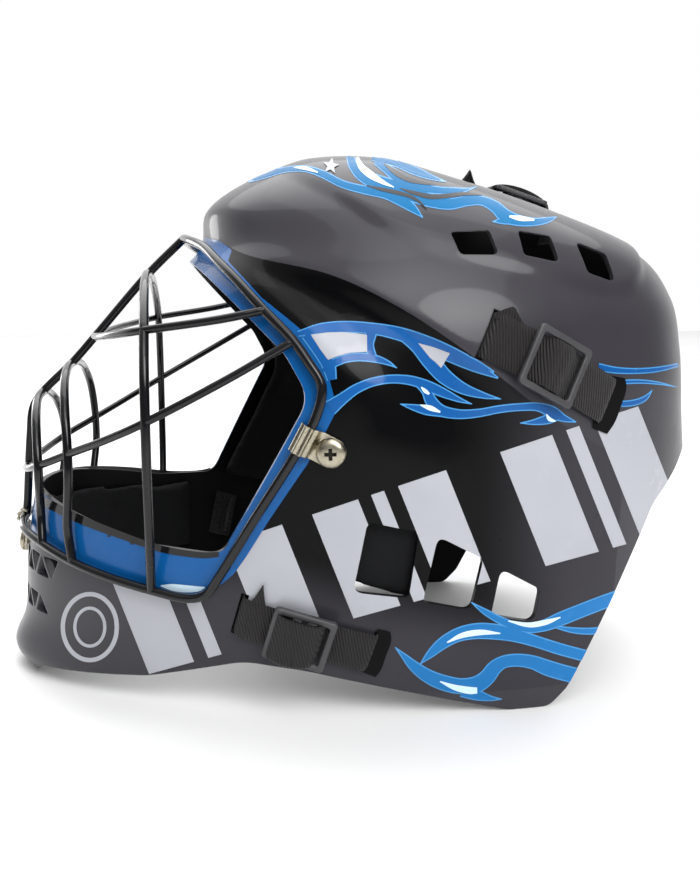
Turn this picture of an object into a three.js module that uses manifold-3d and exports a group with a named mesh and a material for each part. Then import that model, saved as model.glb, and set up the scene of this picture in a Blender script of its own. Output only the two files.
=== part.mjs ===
// A goalkeeper's mask for floorball: a one-piece moulded shell with a wire cage over the face.
// Millimetres, +Z up. The mask looks along -Y and the wearer's left side is +X.
// It stands on its chin and on its two rear lobes, and z = 0 is that surface.
import * as THREE from 'three';
import { mergeVertices } from 'three/addons/utils/BufferGeometryUtils.js';
import Module from 'manifold-3d';

const wasm = await Module();
wasm.setup();

// Shell
const WALL = 3;
const BAND_RAISE = 2;
const BAND_EDGE = 9;
// The band fades in over the first pair of y values and out over the second.
const BAND_STARTS = [-40, -16];
const BAND_STOPS = [134, 142];
const CHEEK_SINK = 4.5;
// The cheek's hollow fades in and out behind the border and below the ridge.
const HOLLOW_BEHIND = [2, 22];
const HOLLOW_REAR = [20, 62];
const HOLLOW_BELOW = [-2, 9];
const HOLLOW_FOOT = [16, 66];
const AROUND = 44;
const RINGS = 24;
const INNER_AROUND = 32;
const INNER_RINGS = 16;
const REACH = 400;
const CUT_DEPTH = 30;
const EDGE_STEPS = 4;
const VENT_STEPS = 2;
// A corner's rounding takes at most this share of the shorter side beside it.
const LONGEST_ROUNDING = 0.45;
const HALVINGS = 40;
const HEIGHT_ROUNDS = 8;
const SMALL = 0.004;
// y of the middle of the whole mask's length, which is moved to y = 0.
const CENTRE = 5;
const FRONT = -Math.PI / 2;
const REAR = Math.PI / 2;

// Cage
const WIRE = 2.0;
const THIN_WIRE = 1.7;
const WIRE_SIDES = 5;
const WIRE_STEP = 19;
const FRAME_LIFT = 3.2;
const HALF_OVERLAP = 1;

// Fasteners
const CLIP_PLATE = 1.2;
const CLIP_WIDTH = 12;
const CLIP_REACH = 12;
const CLIP_TAIL = 6;
const CLIP_BENDS = 6;
// Where the plate's hook round the wire starts and ends, in half turns.
const HOOK_FROM = 1.12;
const HOOK_TO = 0.15;
const SLOPE_START = 2.6;
const SLOPE_LIFT = 0.2;
const SLOPE_END = 5;
const NOTCH_LENGTH = 10;
const NOTCH_HEIGHT = 20;
const ROUND_SIDES = 12;
const HEAD_RADIUS = 5.9;
const HEAD_HEIGHT = 2.6;
const RIM_HEIGHT = 0.9;
const SHOULDER_RADIUS = 4.7;
const SHOULDER_HEIGHT = 2.1;
const CROWN_RADIUS = 2.4;
const SHAFT_RADIUS = 2.2;
const RECESS_LENGTH = 6.4;
const RECESS_WIDTH = 1.4;
const RECESS_DEPTH = 1.5;

// Straps and sliders
const WEB_WIDTH = 20;
const WEB = 1.6;
const WEB_LIFT = 0.8;
const HUMP = 4.4;
// Distances from the slider's middle bar where the webbing starts down and is down again.
const HUMP_TOP = 3;
const HUMP_FOOT = 9.5;
const WEB_STEPS = 12;
const BEND_BELOW = 1;
const BEND_IN = 0.6;
const BEND_DROP = 0.5;
const BEND_OUT = 2.6;
const SLIDER_LENGTH = 27;
const SLIDER_BAR = 2.8;
const SLIDER_THICK = 2.6;
const SLIDER_MIDDLE_THICK = 1.8;
const SLIDER_MIDDLE_DROP = 0.4;
const SLOT_WIDTH = 3;
const SLOT_LENGTH = 21.4;
const TAIL_DEPTH = 9;

// Padding
const PAD = 11;
const CHIN_PAD = 7;
const CLEAR = 0.35;
const PLATE_LIFT = 0.6;
const GAP = 0.3;

// Level sections of the outer surface: height, foremost and rearmost y, half width and where
// it is widest, and the exponents of the rounded front and back halves (2 is an ellipse).
const SECTIONS = [
  { z: -10, front: -142, back: 166, half: 95, mid: 66, nose: 1.4, nape: 2.2 },
  { z: 0, front: -155, back: 168, half: 98, mid: 60, nose: 1.45, nape: 2.2 },
  { z: 12, front: -163, back: 170, half: 101, mid: 52, nose: 1.5, nape: 2.2 },
  { z: 30, front: -157, back: 171, half: 105, mid: 40, nose: 1.62, nape: 2.2 },
  { z: 60, front: -154.5, back: 172, half: 111, mid: 24, nose: 1.76, nape: 2.2 },
  { z: 95, front: -148, back: 174, half: 116, mid: 16, nose: 1.84, nape: 2.2 },
  { z: 125, front: -136, back: 171, half: 119, mid: 16, nose: 2, nape: 2.2 },
  { z: 155, front: -116, back: 168, half: 119, mid: 20, nose: 2.1, nape: 2.2 },
  { z: 180, front: -93, back: 162, half: 113, mid: 24, nose: 2.2, nape: 2.2 },
  { z: 201, front: -69, back: 144, half: 101, mid: 26, nose: 2.3, nape: 2.12 },
  { z: 220, front: -64.5, back: 96, half: 82, mid: 20, nose: 2.3, nape: 2.05 },
  { z: 234, front: -45, back: 51, half: 57, mid: 10, nose: 2.2, nape: 2 },
  { z: 241.5, front: -23, back: 27, half: 31, mid: 4, nose: 2, nape: 2 },
  { z: 244, front: 0, back: 0, half: 0, mid: 0, nose: 2, nape: 2 },
];

// Lower edge of the raised band over the crown, and the ridge above the hollow of the cheek.
const BAND_EDGE_LINE = [
  { y: -34, z: 238 }, { y: -22, z: 229 }, { y: -9, z: 220 }, { y: 2, z: 211 }, { y: 17, z: 203 },
  { y: 32, z: 198 }, { y: 55, z: 193 }, { y: 80, z: 187 }, { y: 104, z: 183 }, { y: 118, z: 186 },
  { y: 129, z: 196 }, { y: 137, z: 214 },
];
const RIDGE_LINE = [
  { y: -62, z: 206 }, { y: -48, z: 197 }, { y: -18, z: 189 }, { y: 8, z: 176 }, { y: 35, z: 158 },
  { y: 70, z: 132 },
];
// Rear edge of the flat border that the cage lies on, as y at each height.
const BORDER_LINE = [
  { z: 56, y: -66 }, { z: 75, y: -53 }, { z: 91, y: -44 }, { z: 116, y: -29 }, { z: 128, y: -22 },
  { z: 141, y: -18 }, { z: 151, y: -20 }, { z: 168, y: -31 }, { z: 180, y: -45 }, { z: 200, y: -58 },
];

// Outlines seen from the side: corners with the radius that rounds each.
const FACE_OPENING = [
  { y: -260, z: 198, r: 0 }, { y: -75, z: 198, r: 7 }, { y: -37, z: 158, r: 14 },
  { y: -28, z: 141, r: 14 }, { y: -63, z: 75, r: 9 }, { y: -94, z: 77, r: 30 },
  { y: -142, z: 90, r: 20 }, { y: -260, z: 91, r: 0 },
];
const LOWER_EDGE = [
  { y: -260, z: 0, r: 0 }, { y: -152, z: 0, r: 3 }, { y: -146, z: 7.5, r: 5 }, { y: -96, z: 13, r: 40 },
  { y: -54, z: 24.5, r: 30 }, { y: -28, z: 21, r: 60 }, { y: 62, z: 0, r: 12 }, { y: 80, z: 0, r: 8 },
  { y: 88, z: 8, r: 8 }, { y: 131, z: 88, r: 20 }, { y: 158, z: 108, r: 20 }, { y: 260, z: 108, r: 0 },
  { y: 260, z: -60, r: 0 }, { y: -260, z: -60, r: 0 },
];
const SIDE_VENTS = {
  crown_front: [
    { y: 31, z: 206, r: 1.5 }, { y: 48, z: 207, r: 1.5 }, { y: 50, z: 197, r: 2 }, { y: 34, z: 197, r: 3 },
  ],
  crown_middle: [
    { y: 61, z: 207, r: 1.5 }, { y: 76, z: 205, r: 1.5 }, { y: 77, z: 194, r: 2 }, { y: 61, z: 197, r: 2 },
  ],
  crown_rear: [
    { y: 88, z: 203, r: 2 }, { y: 103, z: 198, r: 2 }, { y: 104, z: 186, r: 2 }, { y: 90, z: 190, r: 3 },
  ],
  jaw_front: [
    { y: -5, z: 91, r: 3 }, { y: 16, z: 86, r: 3 }, { y: 13, z: 57, r: 3 }, { y: -10, z: 60, r: 4 },
  ],
  jaw_middle: [
    { y: 24, z: 84, r: 3 }, { y: 44, z: 73, r: 3 }, { y: 40, z: 50, r: 4 }, { y: 19, z: 55, r: 3 },
  ],
  jaw_rear: [
    { y: 52, z: 68, r: 3 }, { y: 71, z: 57, r: 4 }, { y: 69, z: 42, r: 4 }, { y: 49, z: 47, r: 3 },
  ],
};

// Two rows of three-sided holes in the chin, on each side of its middle.
const CHIN_ROWS = [
  { z: 57, height: 10, inner: 11, outer: 46, holes: 5 },
  { z: 38, height: 9, inner: 9, outer: 35, holes: 4 },
];
const CHIN_BAR = 1.6;
const CHIN_CUT_FRONT = -190;
const CHIN_CUT_REAR = -115;

// The cage's border wire from the middle of the forehead down to the middle of the chin.
// Rows with x are free in space, and the others lie a little off the shell at that y and z.
const BORDER_WIRE = [
  { x: 0, y: -76, z: 207 }, { x: 24, y: -73.5, z: 205.5 }, { x: 48, y: -67, z: 201.5 },
  { x: 68, y: -61.5, z: 195 }, { x: 85, y: -55, z: 187.5 }, { x: 101.5, y: -45, z: 175.5 },
  { x: 111, y: -34, z: 163.5 }, { y: -27.5, z: 154.5 }, { y: -23, z: 146 }, { y: -25, z: 135 },
  { y: -34, z: 118 }, { y: -48, z: 94 }, { y: -63, z: 67 }, { y: -68.5, z: 58.5 }, { y: -75, z: 56 },
  { y: -91, z: 58 }, { y: -110, z: 61.5 }, { y: -125, z: 65 }, { y: -139, z: 69 },
  { x: 22, y: -153.2, z: 72 }, { x: 0, y: -155.7, z: 73 },
];
const CENTRE_WIRE = [
  { y: -76, z: 207 }, { y: -93, z: 190.5 }, { y: -118, z: 162 }, { y: -131, z: 147.5 },
  { y: -145, z: 134 }, { y: -149.8, z: 127 }, { y: -152, z: 112 }, { y: -154.8, z: 80 }, { y: -155.7, z: 73 },
];
// Arches from one side of the border wire to the other, given for the left side.
const ARCHES = [
  [
    { y: -91, z: 58 }, { x: 94, y: -92, z: 82 }, { x: 99, y: -92, z: 108 }, { x: 99.5, y: -92, z: 132 },
    { x: 96, y: -92, z: 152 }, { x: 87, y: -92, z: 167 }, { x: 66, y: -92.5, z: 180 },
    { x: 35, y: -93, z: 188.5 }, { x: 0, y: -93, z: 190.5 },
  ],
  [
    { y: -125, z: 65 }, { y: -126.5, z: 80 }, { x: 64, y: -127, z: 100 },
    { x: 62.5, y: -127, z: 116 }, { x: 57, y: -128, z: 131 }, { x: 42, y: -129.5, z: 142 },
    { x: 20, y: -130.5, z: 147 }, { x: 0, y: -131, z: 147.5 },
  ],
  [
    { y: -139.5, z: 69 }, { y: -140, z: 84 }, { x: 49, y: -141.5, z: 100 },
    { x: 46, y: -142, z: 115 }, { x: 35, y: -143.5, z: 126 }, { x: 18, y: -145, z: 132 },
    { x: 0, y: -145, z: 134 },
  ],
];
// Two wires that wrap round the arches from one side of the border wire to the other.
const WRAPS = [
  [
    { x: 102.5, y: -44.5, z: 175 }, { x: 100, y: -62, z: 171.5 }, { x: 88, y: -91.5, z: 167 },
    { x: 70, y: -104, z: 164.5 }, { x: 38, y: -115, z: 162 }, { x: 0, y: -118.5, z: 161 },
  ],
  [
    { x: 111, y: -34.5, z: 163 }, { x: 110, y: -60, z: 148.5 }, { x: 99.5, y: -92, z: 131 },
    { x: 84, y: -109, z: 122 }, { x: 63, y: -127, z: 113 }, { x: 48, y: -141, z: 106 },
    { x: 26, y: -150, z: 101 }, { x: 0, y: -153, z: 99 },
  ],
];

// Each side clip and its screw lie along a line from the border wire to the rear.
const SIDE_CLIP = { y: -30.2, z: 125.4, towardY: 10, towardZ: -5.3 };

const CHIN_CLIP = { z: 73 };

// Strap runs between their two slots, seen from the side, and the slider's place along the run.
const SIDE_STRAPS = [
  { name: 'upper', fromY: 43, fromZ: 165.5, toY: 98, toZ: 136.5, slider: 29 },
  { name: 'lower', fromY: -56, fromZ: 48, toY: -1, toZ: 31.5, slider: 27 },
];
const CROWN_STRAP = { fromY: 60, toY: 110, slider: 30 };

// Padding inside: outline from the side, and which side of the middle it is on.
const PADS = [
  { name: 'pad_forehead', side: 0, deep: PAD, outline: [
    { y: -90, z: 200, r: 0 }, { y: -52, z: 202, r: 0 },
    { y: -26, z: 228, r: 0 }, { y: -90, z: 238, r: 0 } ] },
  { name: 'pad_crown', side: 0, deep: PAD, outline: [
    { y: -14, z: 222, r: 0 }, { y: 52, z: 222, r: 0 },
    { y: 52, z: 260, r: 0 }, { y: -14, z: 260, r: 0 } ] },
  { name: 'pad_nape', side: 0, deep: PAD, outline: [
    { y: 112, z: 116, r: 0 }, { y: 190, z: 116, r: 0 },
    { y: 190, z: 178, r: 0 }, { y: 112, z: 178, r: 0 } ] },
  { name: 'pad_cheek', side: 1, deep: PAD, outline: [
    { y: -58, z: 73, r: 0 }, { y: 17, z: 54, r: 0 }, { y: 32, z: 120, r: 0 }, { y: 20, z: 186, r: 0 },
    { y: -40, z: 170, r: 0 }, { y: -26, z: 148, r: 0 }, { y: -26, z: 135, r: 0 } ] },
  { name: 'pad_chin', side: 0, deep: CHIN_PAD, outline: [
    { y: -190, z: 24, r: 0 }, { y: -76, z: 34, r: 0 }, { y: -74, z: 72, r: 0 },
    { y: -96, z: 74, r: 0 }, { y: -190, z: 88, r: 0 } ] },
];

const LOOKS = {
  shell: { color: 0x232327, roughness: 0.16, metalness: 0.1 },
  wire: { color: 0x17181b, roughness: 0.3, metalness: 0.25 },
  steel: { color: 0xb9b1a4, roughness: 0.28, metalness: 0.95 },
  foam: { color: 0x141517, roughness: 0.9, metalness: 0 },
  webbing: { color: 0x2b2829, roughness: 0.85, metalness: 0 },
  buckle: { color: 0x4b494b, roughness: 0.5, metalness: 0 },
};

// Solids, joined and cut

function toSolid(geometry) {
  const bare = geometry.clone();
  bare.deleteAttribute('normal');
  bare.deleteAttribute('uv');
  const merged = mergeVertices(bare);
  const index = Array.from(merged.index.array);
  const kept = [];
  for (let i = 0; i < index.length; i += 3) {
    const [a, b, c] = index.slice(i, i + 3);
    if (a !== b && b !== c && c !== a) kept.push(a, b, c);
  }
  const mesh = new wasm.Mesh({
    numProp: 3,
    vertProperties: new Float32Array(merged.attributes.position.array),
    triVerts: new Uint32Array(kept),
  });
  return new wasm.Manifold(mesh);
}

function toGeometry(solid) {
  const { vertProperties, triVerts } = solid.getMesh();
  const geometry = new THREE.BufferGeometry();
  geometry.setAttribute('position', new THREE.BufferAttribute(vertProperties, 3));
  geometry.setIndex(new THREE.BufferAttribute(triVerts, 1));
  geometry.computeVertexNormals();
  return geometry;
}

function mirrored(geometry) {
  const copy = geometry.clone();
  copy.applyMatrix4(new THREE.Matrix4().makeScale(-1, 1, 1));
  const index = copy.index ? Array.from(copy.index.array) : [...copy.attributes.position.array.keys()];
  const count = copy.index ? index.length : copy.attributes.position.count;
  const turned = [];
  for (let i = 0; i < count; i += 3) turned.push(index[i], index[i + 2], index[i + 1]);
  copy.setIndex(turned);
  return copy;
}

function piece(name, geometry, look) {
  const mesh = new THREE.Mesh(geometry, new THREE.MeshStandardMaterial(LOOKS[look]));
  mesh.name = name;
  return mesh;
}

// The moulded surface

function smooth(from, to, value) {
  return THREE.MathUtils.smoothstep(value, from, to);
}

function along(line, key, value, at) {
  const last = line.length - 1;
  if (at <= line[0][key]) return line[0][value];
  if (at >= line[last][key]) return line[last][value];
  const i = line.findIndex((row) => row[key] > at);
  const share = (at - line[i - 1][key]) / (line[i][key] - line[i - 1][key]);
  return THREE.MathUtils.lerp(line[i - 1][value], line[i][value], share);
}

// The section at a place t along the table, on a smooth curve through its rows.
function sectionAt(t) {
  const last = SECTIONS.length - 1;
  const i = Math.min(Math.floor(THREE.MathUtils.clamp(t, 0, last)), last - 1);
  const s = THREE.MathUtils.clamp(t, 0, last) - i;
  const rows = [i - 1, i, i + 1, i + 2].map((k) => SECTIONS[THREE.MathUtils.clamp(k, 0, last)]);
  const row = {};
  for (const key of Object.keys(SECTIONS[0])) {
    const [a, b, c, d] = rows.map((r) => r[key]);
    const square = (2 * a - 5 * b + 4 * c - d) * s * s;
    const cube = (3 * b - a - 3 * c + d) * s * s * s;
    row[key] = (2 * b + (c - a) * s + square + cube) / 2;
  }
  return row;
}

// How far the surface stands out from its plain form at this y and z.
function relief(y, z) {
  const above = z - along(BAND_EDGE_LINE, 'y', 'z', y);
  const ends = smooth(...BAND_STARTS, y) * (1 - smooth(...BAND_STOPS, y));
  const band = BAND_RAISE * smooth(-BAND_EDGE / 2, BAND_EDGE / 2, above) * ends;
  const below = along(RIDGE_LINE, 'y', 'z', y) - z;
  const behind = y - along(BORDER_LINE, 'z', 'y', z);
  const lengthwise = smooth(...HOLLOW_BEHIND, behind) * (1 - smooth(...HOLLOW_REAR, y));
  const upright = smooth(...HOLLOW_BELOW, below) * (1 - smooth(...HOLLOW_FOOT, below));
  return band - CHEEK_SINK * lengthwise * upright;
}

function plainPoint(t, angle) {
  const row = sectionAt(t);
  const power = 2 / (Math.sin(angle) < 0 ? row.nose : row.nape);
  const acrossPower = Math.sin(angle) < 0 ? 1 : power;
  const across = Math.sign(Math.cos(angle)) * Math.abs(Math.cos(angle)) ** acrossPower;
  const ahead = Math.sign(Math.sin(angle)) * Math.abs(Math.sin(angle)) ** power;
  const reach = ahead < 0 ? row.mid - row.front : row.back - row.mid;
  return new THREE.Vector3(row.half * across, row.mid + reach * ahead, row.z);
}

function plainNormal(t, angle) {
  const last = SECTIONS.length - 1;
  if (t > last - SMALL) return new THREE.Vector3(0, 0, 1);
  const round = plainPoint(t, angle + SMALL).sub(plainPoint(t, angle - SMALL));
  const higher = plainPoint(Math.min(t + SMALL, last), angle);
  const up = higher.sub(plainPoint(Math.max(t - SMALL, 0), angle));
  return round.cross(up).normalize();
}

function surfacePoint(t, angle, inset = 0) {
  const point = plainPoint(t, angle);
  const out = relief(point.y, point.z) - inset;
  return point.addScaledVector(plainNormal(t, angle), out);
}

// A closed body inside the surface moved in by inset.
function formBody(inset, around, rings) {
  const last = SECTIONS.length - 1;
  const positions = [];
  const index = [];
  for (let i = 0; i < rings; i += 1) {
    for (let j = 0; j < around; j += 1) {
      const point = surfacePoint((i / rings) * last, (j / around) * Math.PI * 2, inset);
      positions.push(point.x, point.y, point.z);
    }
  }
  const top = surfacePoint(last, 0, inset);
  positions.push(top.x, top.y, top.z, 0, SECTIONS[0].mid, SECTIONS[0].z);
  const apex = rings * around;
  for (let j = 0; j < around; j += 1) {
    const next = (j + 1) % around;
    const onLeft = Math.cos(((j + 0.5) / around) * Math.PI * 2) > 0;
    for (let i = 0; i < rings - 1; i += 1) {
      const low = i * around;
      const high = low + around;
      const [a, b, c, d] = [low + j, low + next, high + next, high + j];
      if (onLeft) index.push(a, b, c, a, c, d);
      else index.push(a, b, d, b, c, d);
    }
    index.push((rings - 1) * around + j, (rings - 1) * around + next, apex);
    index.push(next, j, apex + 1);
  }
  const geometry = new THREE.BufferGeometry();
  geometry.setAttribute('position', new THREE.Float32BufferAttribute(positions, 3));
  geometry.setIndex(index);
  return toSolid(geometry);
}

// The point of the left side at this y and z, and the outward direction there.
function leftSide(y, z) {
  let low = 0;
  let high = SECTIONS.length - 1;
  for (let i = 0; i < HALVINGS; i += 1) {
    const middle = (low + high) / 2;
    if (sectionAt(middle).z < z) low = middle;
    else high = middle;
  }
  const row = sectionAt(low);
  const ahead = y < row.mid ? (y - row.mid) / (row.mid - row.front) : (y - row.mid) / (row.back - row.mid);
  const power = y < row.mid ? row.nose : row.nape;
  const sine = Math.sign(ahead) * Math.min(Math.abs(ahead), 1) ** (power / 2);
  const angle = Math.asin(sine);
  return { point: surfacePoint(low, angle), normal: plainNormal(low, angle) };
}

function liftedPoint(y, z, lift) {
  const { point, normal } = leftSide(y, z);
  return point.addScaledVector(normal, lift);
}

// Outlines and prisms

function roundedShape(corners, across, up) {
  const shape = new THREE.Shape();
  corners.forEach((corner, i) => {
    const here = new THREE.Vector2(corner[across], corner[up]);
    const before = corners[(i + corners.length - 1) % corners.length];
    const after = corners[(i + 1) % corners.length];
    const back = new THREE.Vector2(before[across], before[up]).sub(here);
    const on = new THREE.Vector2(after[across], after[up]).sub(here);
    const half = Math.acos(THREE.MathUtils.clamp(back.dot(on) / back.length() / on.length(), -1, 1)) / 2;
    const most = Math.min(back.length(), on.length()) * LONGEST_ROUNDING;
    const cut = Math.min(corner.r / Math.tan(half), most);
    const start = here.clone().addScaledVector(back.normalize(), cut);
    const end = here.clone().addScaledVector(on.normalize(), cut);
    if (i === 0) shape.moveTo(start.x, start.y);
    else shape.lineTo(start.x, start.y);
    if (cut > 0) shape.quadraticCurveTo(here.x, here.y, end.x, end.y);
  });
  return shape;
}

// A prism along X with this outline in y and z, from x = from to x = to.
function sidePrism(corners, from, to, curveSegments) {
  const depth = to - from;
  const shape = roundedShape(corners, 'y', 'z');
  const geometry = new THREE.ExtrudeGeometry(shape, { depth, bevelEnabled: false, curveSegments });
  const turn = new THREE.Matrix4().set(0, 0, 1, from, 1, 0, 0, 0, 0, 1, 0, 0, 0, 0, 0, 1);
  geometry.applyMatrix4(turn);
  return toSolid(geometry);
}

// A strip of the given thickness along a flat path, extruded across its width.
function strip(path, thickness, width) {
  const left = [];
  const right = [];
  path.forEach((point, i) => {
    const before = path[Math.max(i - 1, 0)];
    const after = path[Math.min(i + 1, path.length - 1)];
    const direction = after.clone().sub(before).normalize();
    const side = new THREE.Vector2(-direction.y, direction.x).multiplyScalar(thickness / 2);
    left.push(point.clone().add(side));
    right.unshift(point.clone().sub(side));
  });
  const shape = new THREE.Shape([...left, ...right]);
  const geometry = new THREE.ExtrudeGeometry(shape, { depth: width, bevelEnabled: false });
  geometry.translate(0, 0, -width / 2);
  return geometry;
}

// A frame on the surface: first axis along the run, second outward, third across.
function placeOn(origin, run, normal) {
  const first = run.clone().normalize();
  const out = normal.clone().addScaledVector(first, -normal.dot(first)).normalize();
  const across = first.clone().cross(out);
  return new THREE.Matrix4().makeBasis(first, out, across).setPosition(origin);
}

// Height of the surface above the frame's first axis, at a distance s along it.
function heightOnLeft(frame, s) {
  const inverse = frame.clone().invert();
  let height = 0;
  for (let i = 0; i < HEIGHT_ROUNDS; i += 1) {
    const guess = new THREE.Vector3(s, height, 0).applyMatrix4(frame);
    height = leftSide(guess.y, guess.z).point.applyMatrix4(inverse).y;
  }
  return height;
}

// The last point on the middle line, front or rear by its angle, that is still before the limit.
function middlePoint(angle, before) {
  let low = 0;
  let high = SECTIONS.length - 1;
  for (let i = 0; i < HALVINGS; i += 1) {
    const middle = (low + high) / 2;
    if (before(surfacePoint(middle, angle))) low = middle;
    else high = middle;
  }
  return surfacePoint(low, angle);
}

function heightOnCrown(frame, s) {
  const inverse = frame.clone().invert();
  const beyond = (point) => point.applyMatrix4(inverse).x > s;
  return middlePoint(REAR, beyond).applyMatrix4(inverse).y;
}

function crownPoint(y) {
  return middlePoint(REAR, (point) => point.y > y);
}

function frontPoint(z) {
  return middlePoint(FRONT, (point) => point.z < z);
}

// The shell

function chinHoles() {
  const holes = [];
  for (const row of CHIN_ROWS) {
    const pitch = (row.outer - row.inner) / row.holes;
    for (let i = 0; i < row.holes; i += 1) {
      const start = row.inner + i * pitch;
      const flip = i % 2 === 0 ? 1 : -1;
      const base = row.z + (flip * row.height) / 2;
      const tip = row.z - (flip * row.height) / 2;
      const half = pitch - CHIN_BAR;
      const middle = start + pitch / 2;
      const shape = new THREE.Shape([
        new THREE.Vector2(middle - half, base),
        new THREE.Vector2(middle + half, base),
        new THREE.Vector2(middle, tip),
      ]);
      const depth = CHIN_CUT_REAR - CHIN_CUT_FRONT;
      const geometry = new THREE.ExtrudeGeometry(shape, { depth, bevelEnabled: false });
      geometry.rotateX(Math.PI / 2);
      geometry.translate(0, CHIN_CUT_REAR, 0);
      holes.push(toSolid(geometry), toSolid(mirrored(geometry)));
    }
  }
  return holes;
}

function slotCutter(frame, s, height) {
  const box = new THREE.BoxGeometry(SLOT_WIDTH, CUT_DEPTH, SLOT_LENGTH);
  box.translate(s, height, 0);
  box.applyMatrix4(frame);
  return box;
}

function screwHole(frame, s) {
  const radius = SHAFT_RADIUS + GAP;
  const hole = new THREE.CylinderGeometry(radius, radius, CUT_DEPTH, ROUND_SIDES);
  hole.translate(s, 0, 0);
  hole.applyMatrix4(frame);
  return hole;
}

function shellSolid(straps, clips) {
  let shell = formBody(0, AROUND, RINGS).subtract(formBody(WALL, INNER_AROUND, INNER_RINGS));
  shell = shell.subtract(sidePrism(FACE_OPENING, -REACH, REACH, EDGE_STEPS));
  shell = shell.subtract(sidePrism(LOWER_EDGE, -REACH, REACH, EDGE_STEPS));
  for (const corners of Object.values(SIDE_VENTS)) {
    shell = shell.subtract(sidePrism(corners, -REACH, REACH, VENT_STEPS));
  }
  for (const hole of chinHoles()) shell = shell.subtract(hole);
  for (const strap of straps) {
    for (const end of [strap.start, strap.end]) {
      const cutter = slotCutter(strap.frame, end, strap.height(end));
      shell = shell.subtract(toSolid(cutter));
      if (strap.twin) shell = shell.subtract(toSolid(mirrored(cutter)));
    }
  }
  for (const clip of clips) {
    const hole = screwHole(clip.frame, CLIP_REACH);
    shell = shell.subtract(toSolid(hole));
    if (clip.twin) shell = shell.subtract(toSolid(mirrored(hole)));
  }
  return shell;
}

// The cage

function wire(points, radius) {
  const curve = new THREE.CatmullRomCurve3(points, false, 'centripetal');
  const shape = new THREE.Shape();
  for (let i = 0; i < WIRE_SIDES; i += 1) {
    const angle = (i / WIRE_SIDES) * Math.PI * 2;
    const corner = [radius * Math.cos(angle), radius * Math.sin(angle)];
    if (i === 0) shape.moveTo(...corner);
    else shape.lineTo(...corner);
  }
  const steps = Math.round(curve.getLength() / WIRE_STEP);
  const geometry = new THREE.ExtrudeGeometry(shape, { steps, extrudePath: curve, bevelEnabled: false });
  return toSolid(geometry);
}

function spacePoint(row) {
  if (row.x === undefined) return liftedPoint(row.y, row.z, FRAME_LIFT);
  return new THREE.Vector3(row.x, row.y, row.z);
}

// Both halves of a run that is given for the left side down to or up to the middle.
function bothSides(points) {
  const other = points.slice(0, -1).map((p) => new THREE.Vector3(-p.x, p.y, p.z));
  return [...points, ...other.reverse()];
}

function cageSolid() {
  const border = BORDER_WIRE.map(spacePoint);
  const overlap = new THREE.Vector3(-HALF_OVERLAP, 0, 0);
  const half = [border[0].clone().add(overlap), ...border, border[border.length - 1].clone().add(overlap)];
  const otherHalf = half.map((p) => new THREE.Vector3(-p.x, p.y, p.z));
  let cage = wire(half, WIRE).add(wire(otherHalf, WIRE));
  cage = cage.add(wire(CENTRE_WIRE.map((row) => new THREE.Vector3(0, row.y, row.z)), WIRE));
  for (const rows of ARCHES) cage = cage.add(wire(bothSides(rows.map(spacePoint)), WIRE));
  for (const rows of WRAPS) cage = cage.add(wire(bothSides(rows.map(spacePoint)), THIN_WIRE));
  return cage;
}

// Clips and screws

// Path of the bent plate in its own frame: over the wire and down to the surface.
function clipPath() {
  const radius = WIRE + PLATE_LIFT + CLIP_PLATE / 2;
  const path = [];
  for (let i = 0; i <= CLIP_BENDS; i += 1) {
    const angle = Math.PI * THREE.MathUtils.lerp(HOOK_FROM, HOOK_TO, i / CLIP_BENDS);
    path.push(new THREE.Vector2(radius * Math.cos(angle), FRAME_LIFT + radius * Math.sin(angle)));
  }
  const flat = PLATE_LIFT + CLIP_PLATE / 2;
  path.push(new THREE.Vector2(radius + SLOPE_START, flat + SLOPE_LIFT));
  path.push(new THREE.Vector2(radius + SLOPE_END, flat));
  path.push(new THREE.Vector2(CLIP_REACH + CLIP_TAIL, flat));
  return path;
}

// The chin clip is notched where the cage's middle wire comes down to the border wire.
function clipGeometry(clip) {
  const plate = toSolid(strip(clipPath(), CLIP_PLATE, CLIP_WIDTH));
  const round = new THREE.CylinderGeometry(CLIP_WIDTH / 2, CLIP_WIDTH / 2, CLIP_WIDTH, ROUND_SIDES);
  round.translate(CLIP_REACH, 0, 0);
  const hook = new THREE.BoxGeometry(CLIP_REACH * 2, CLIP_WIDTH * 2, CLIP_WIDTH);
  const outline = toSolid(round).add(toSolid(hook));
  let solid = plate.intersect(outline).subtract(toSolid(screwHole(new THREE.Matrix4(), CLIP_REACH)));
  if (clip.notched) {
    const notch = new THREE.BoxGeometry(NOTCH_LENGTH, NOTCH_HEIGHT, 2 * (WIRE + PLATE_LIFT));
    notch.translate(WIRE + PLATE_LIFT - NOTCH_LENGTH / 2, 0, 0);
    solid = solid.subtract(toSolid(notch));
  }
  const geometry = toGeometry(solid);
  geometry.applyMatrix4(clip.frame);
  return geometry;
}

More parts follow.
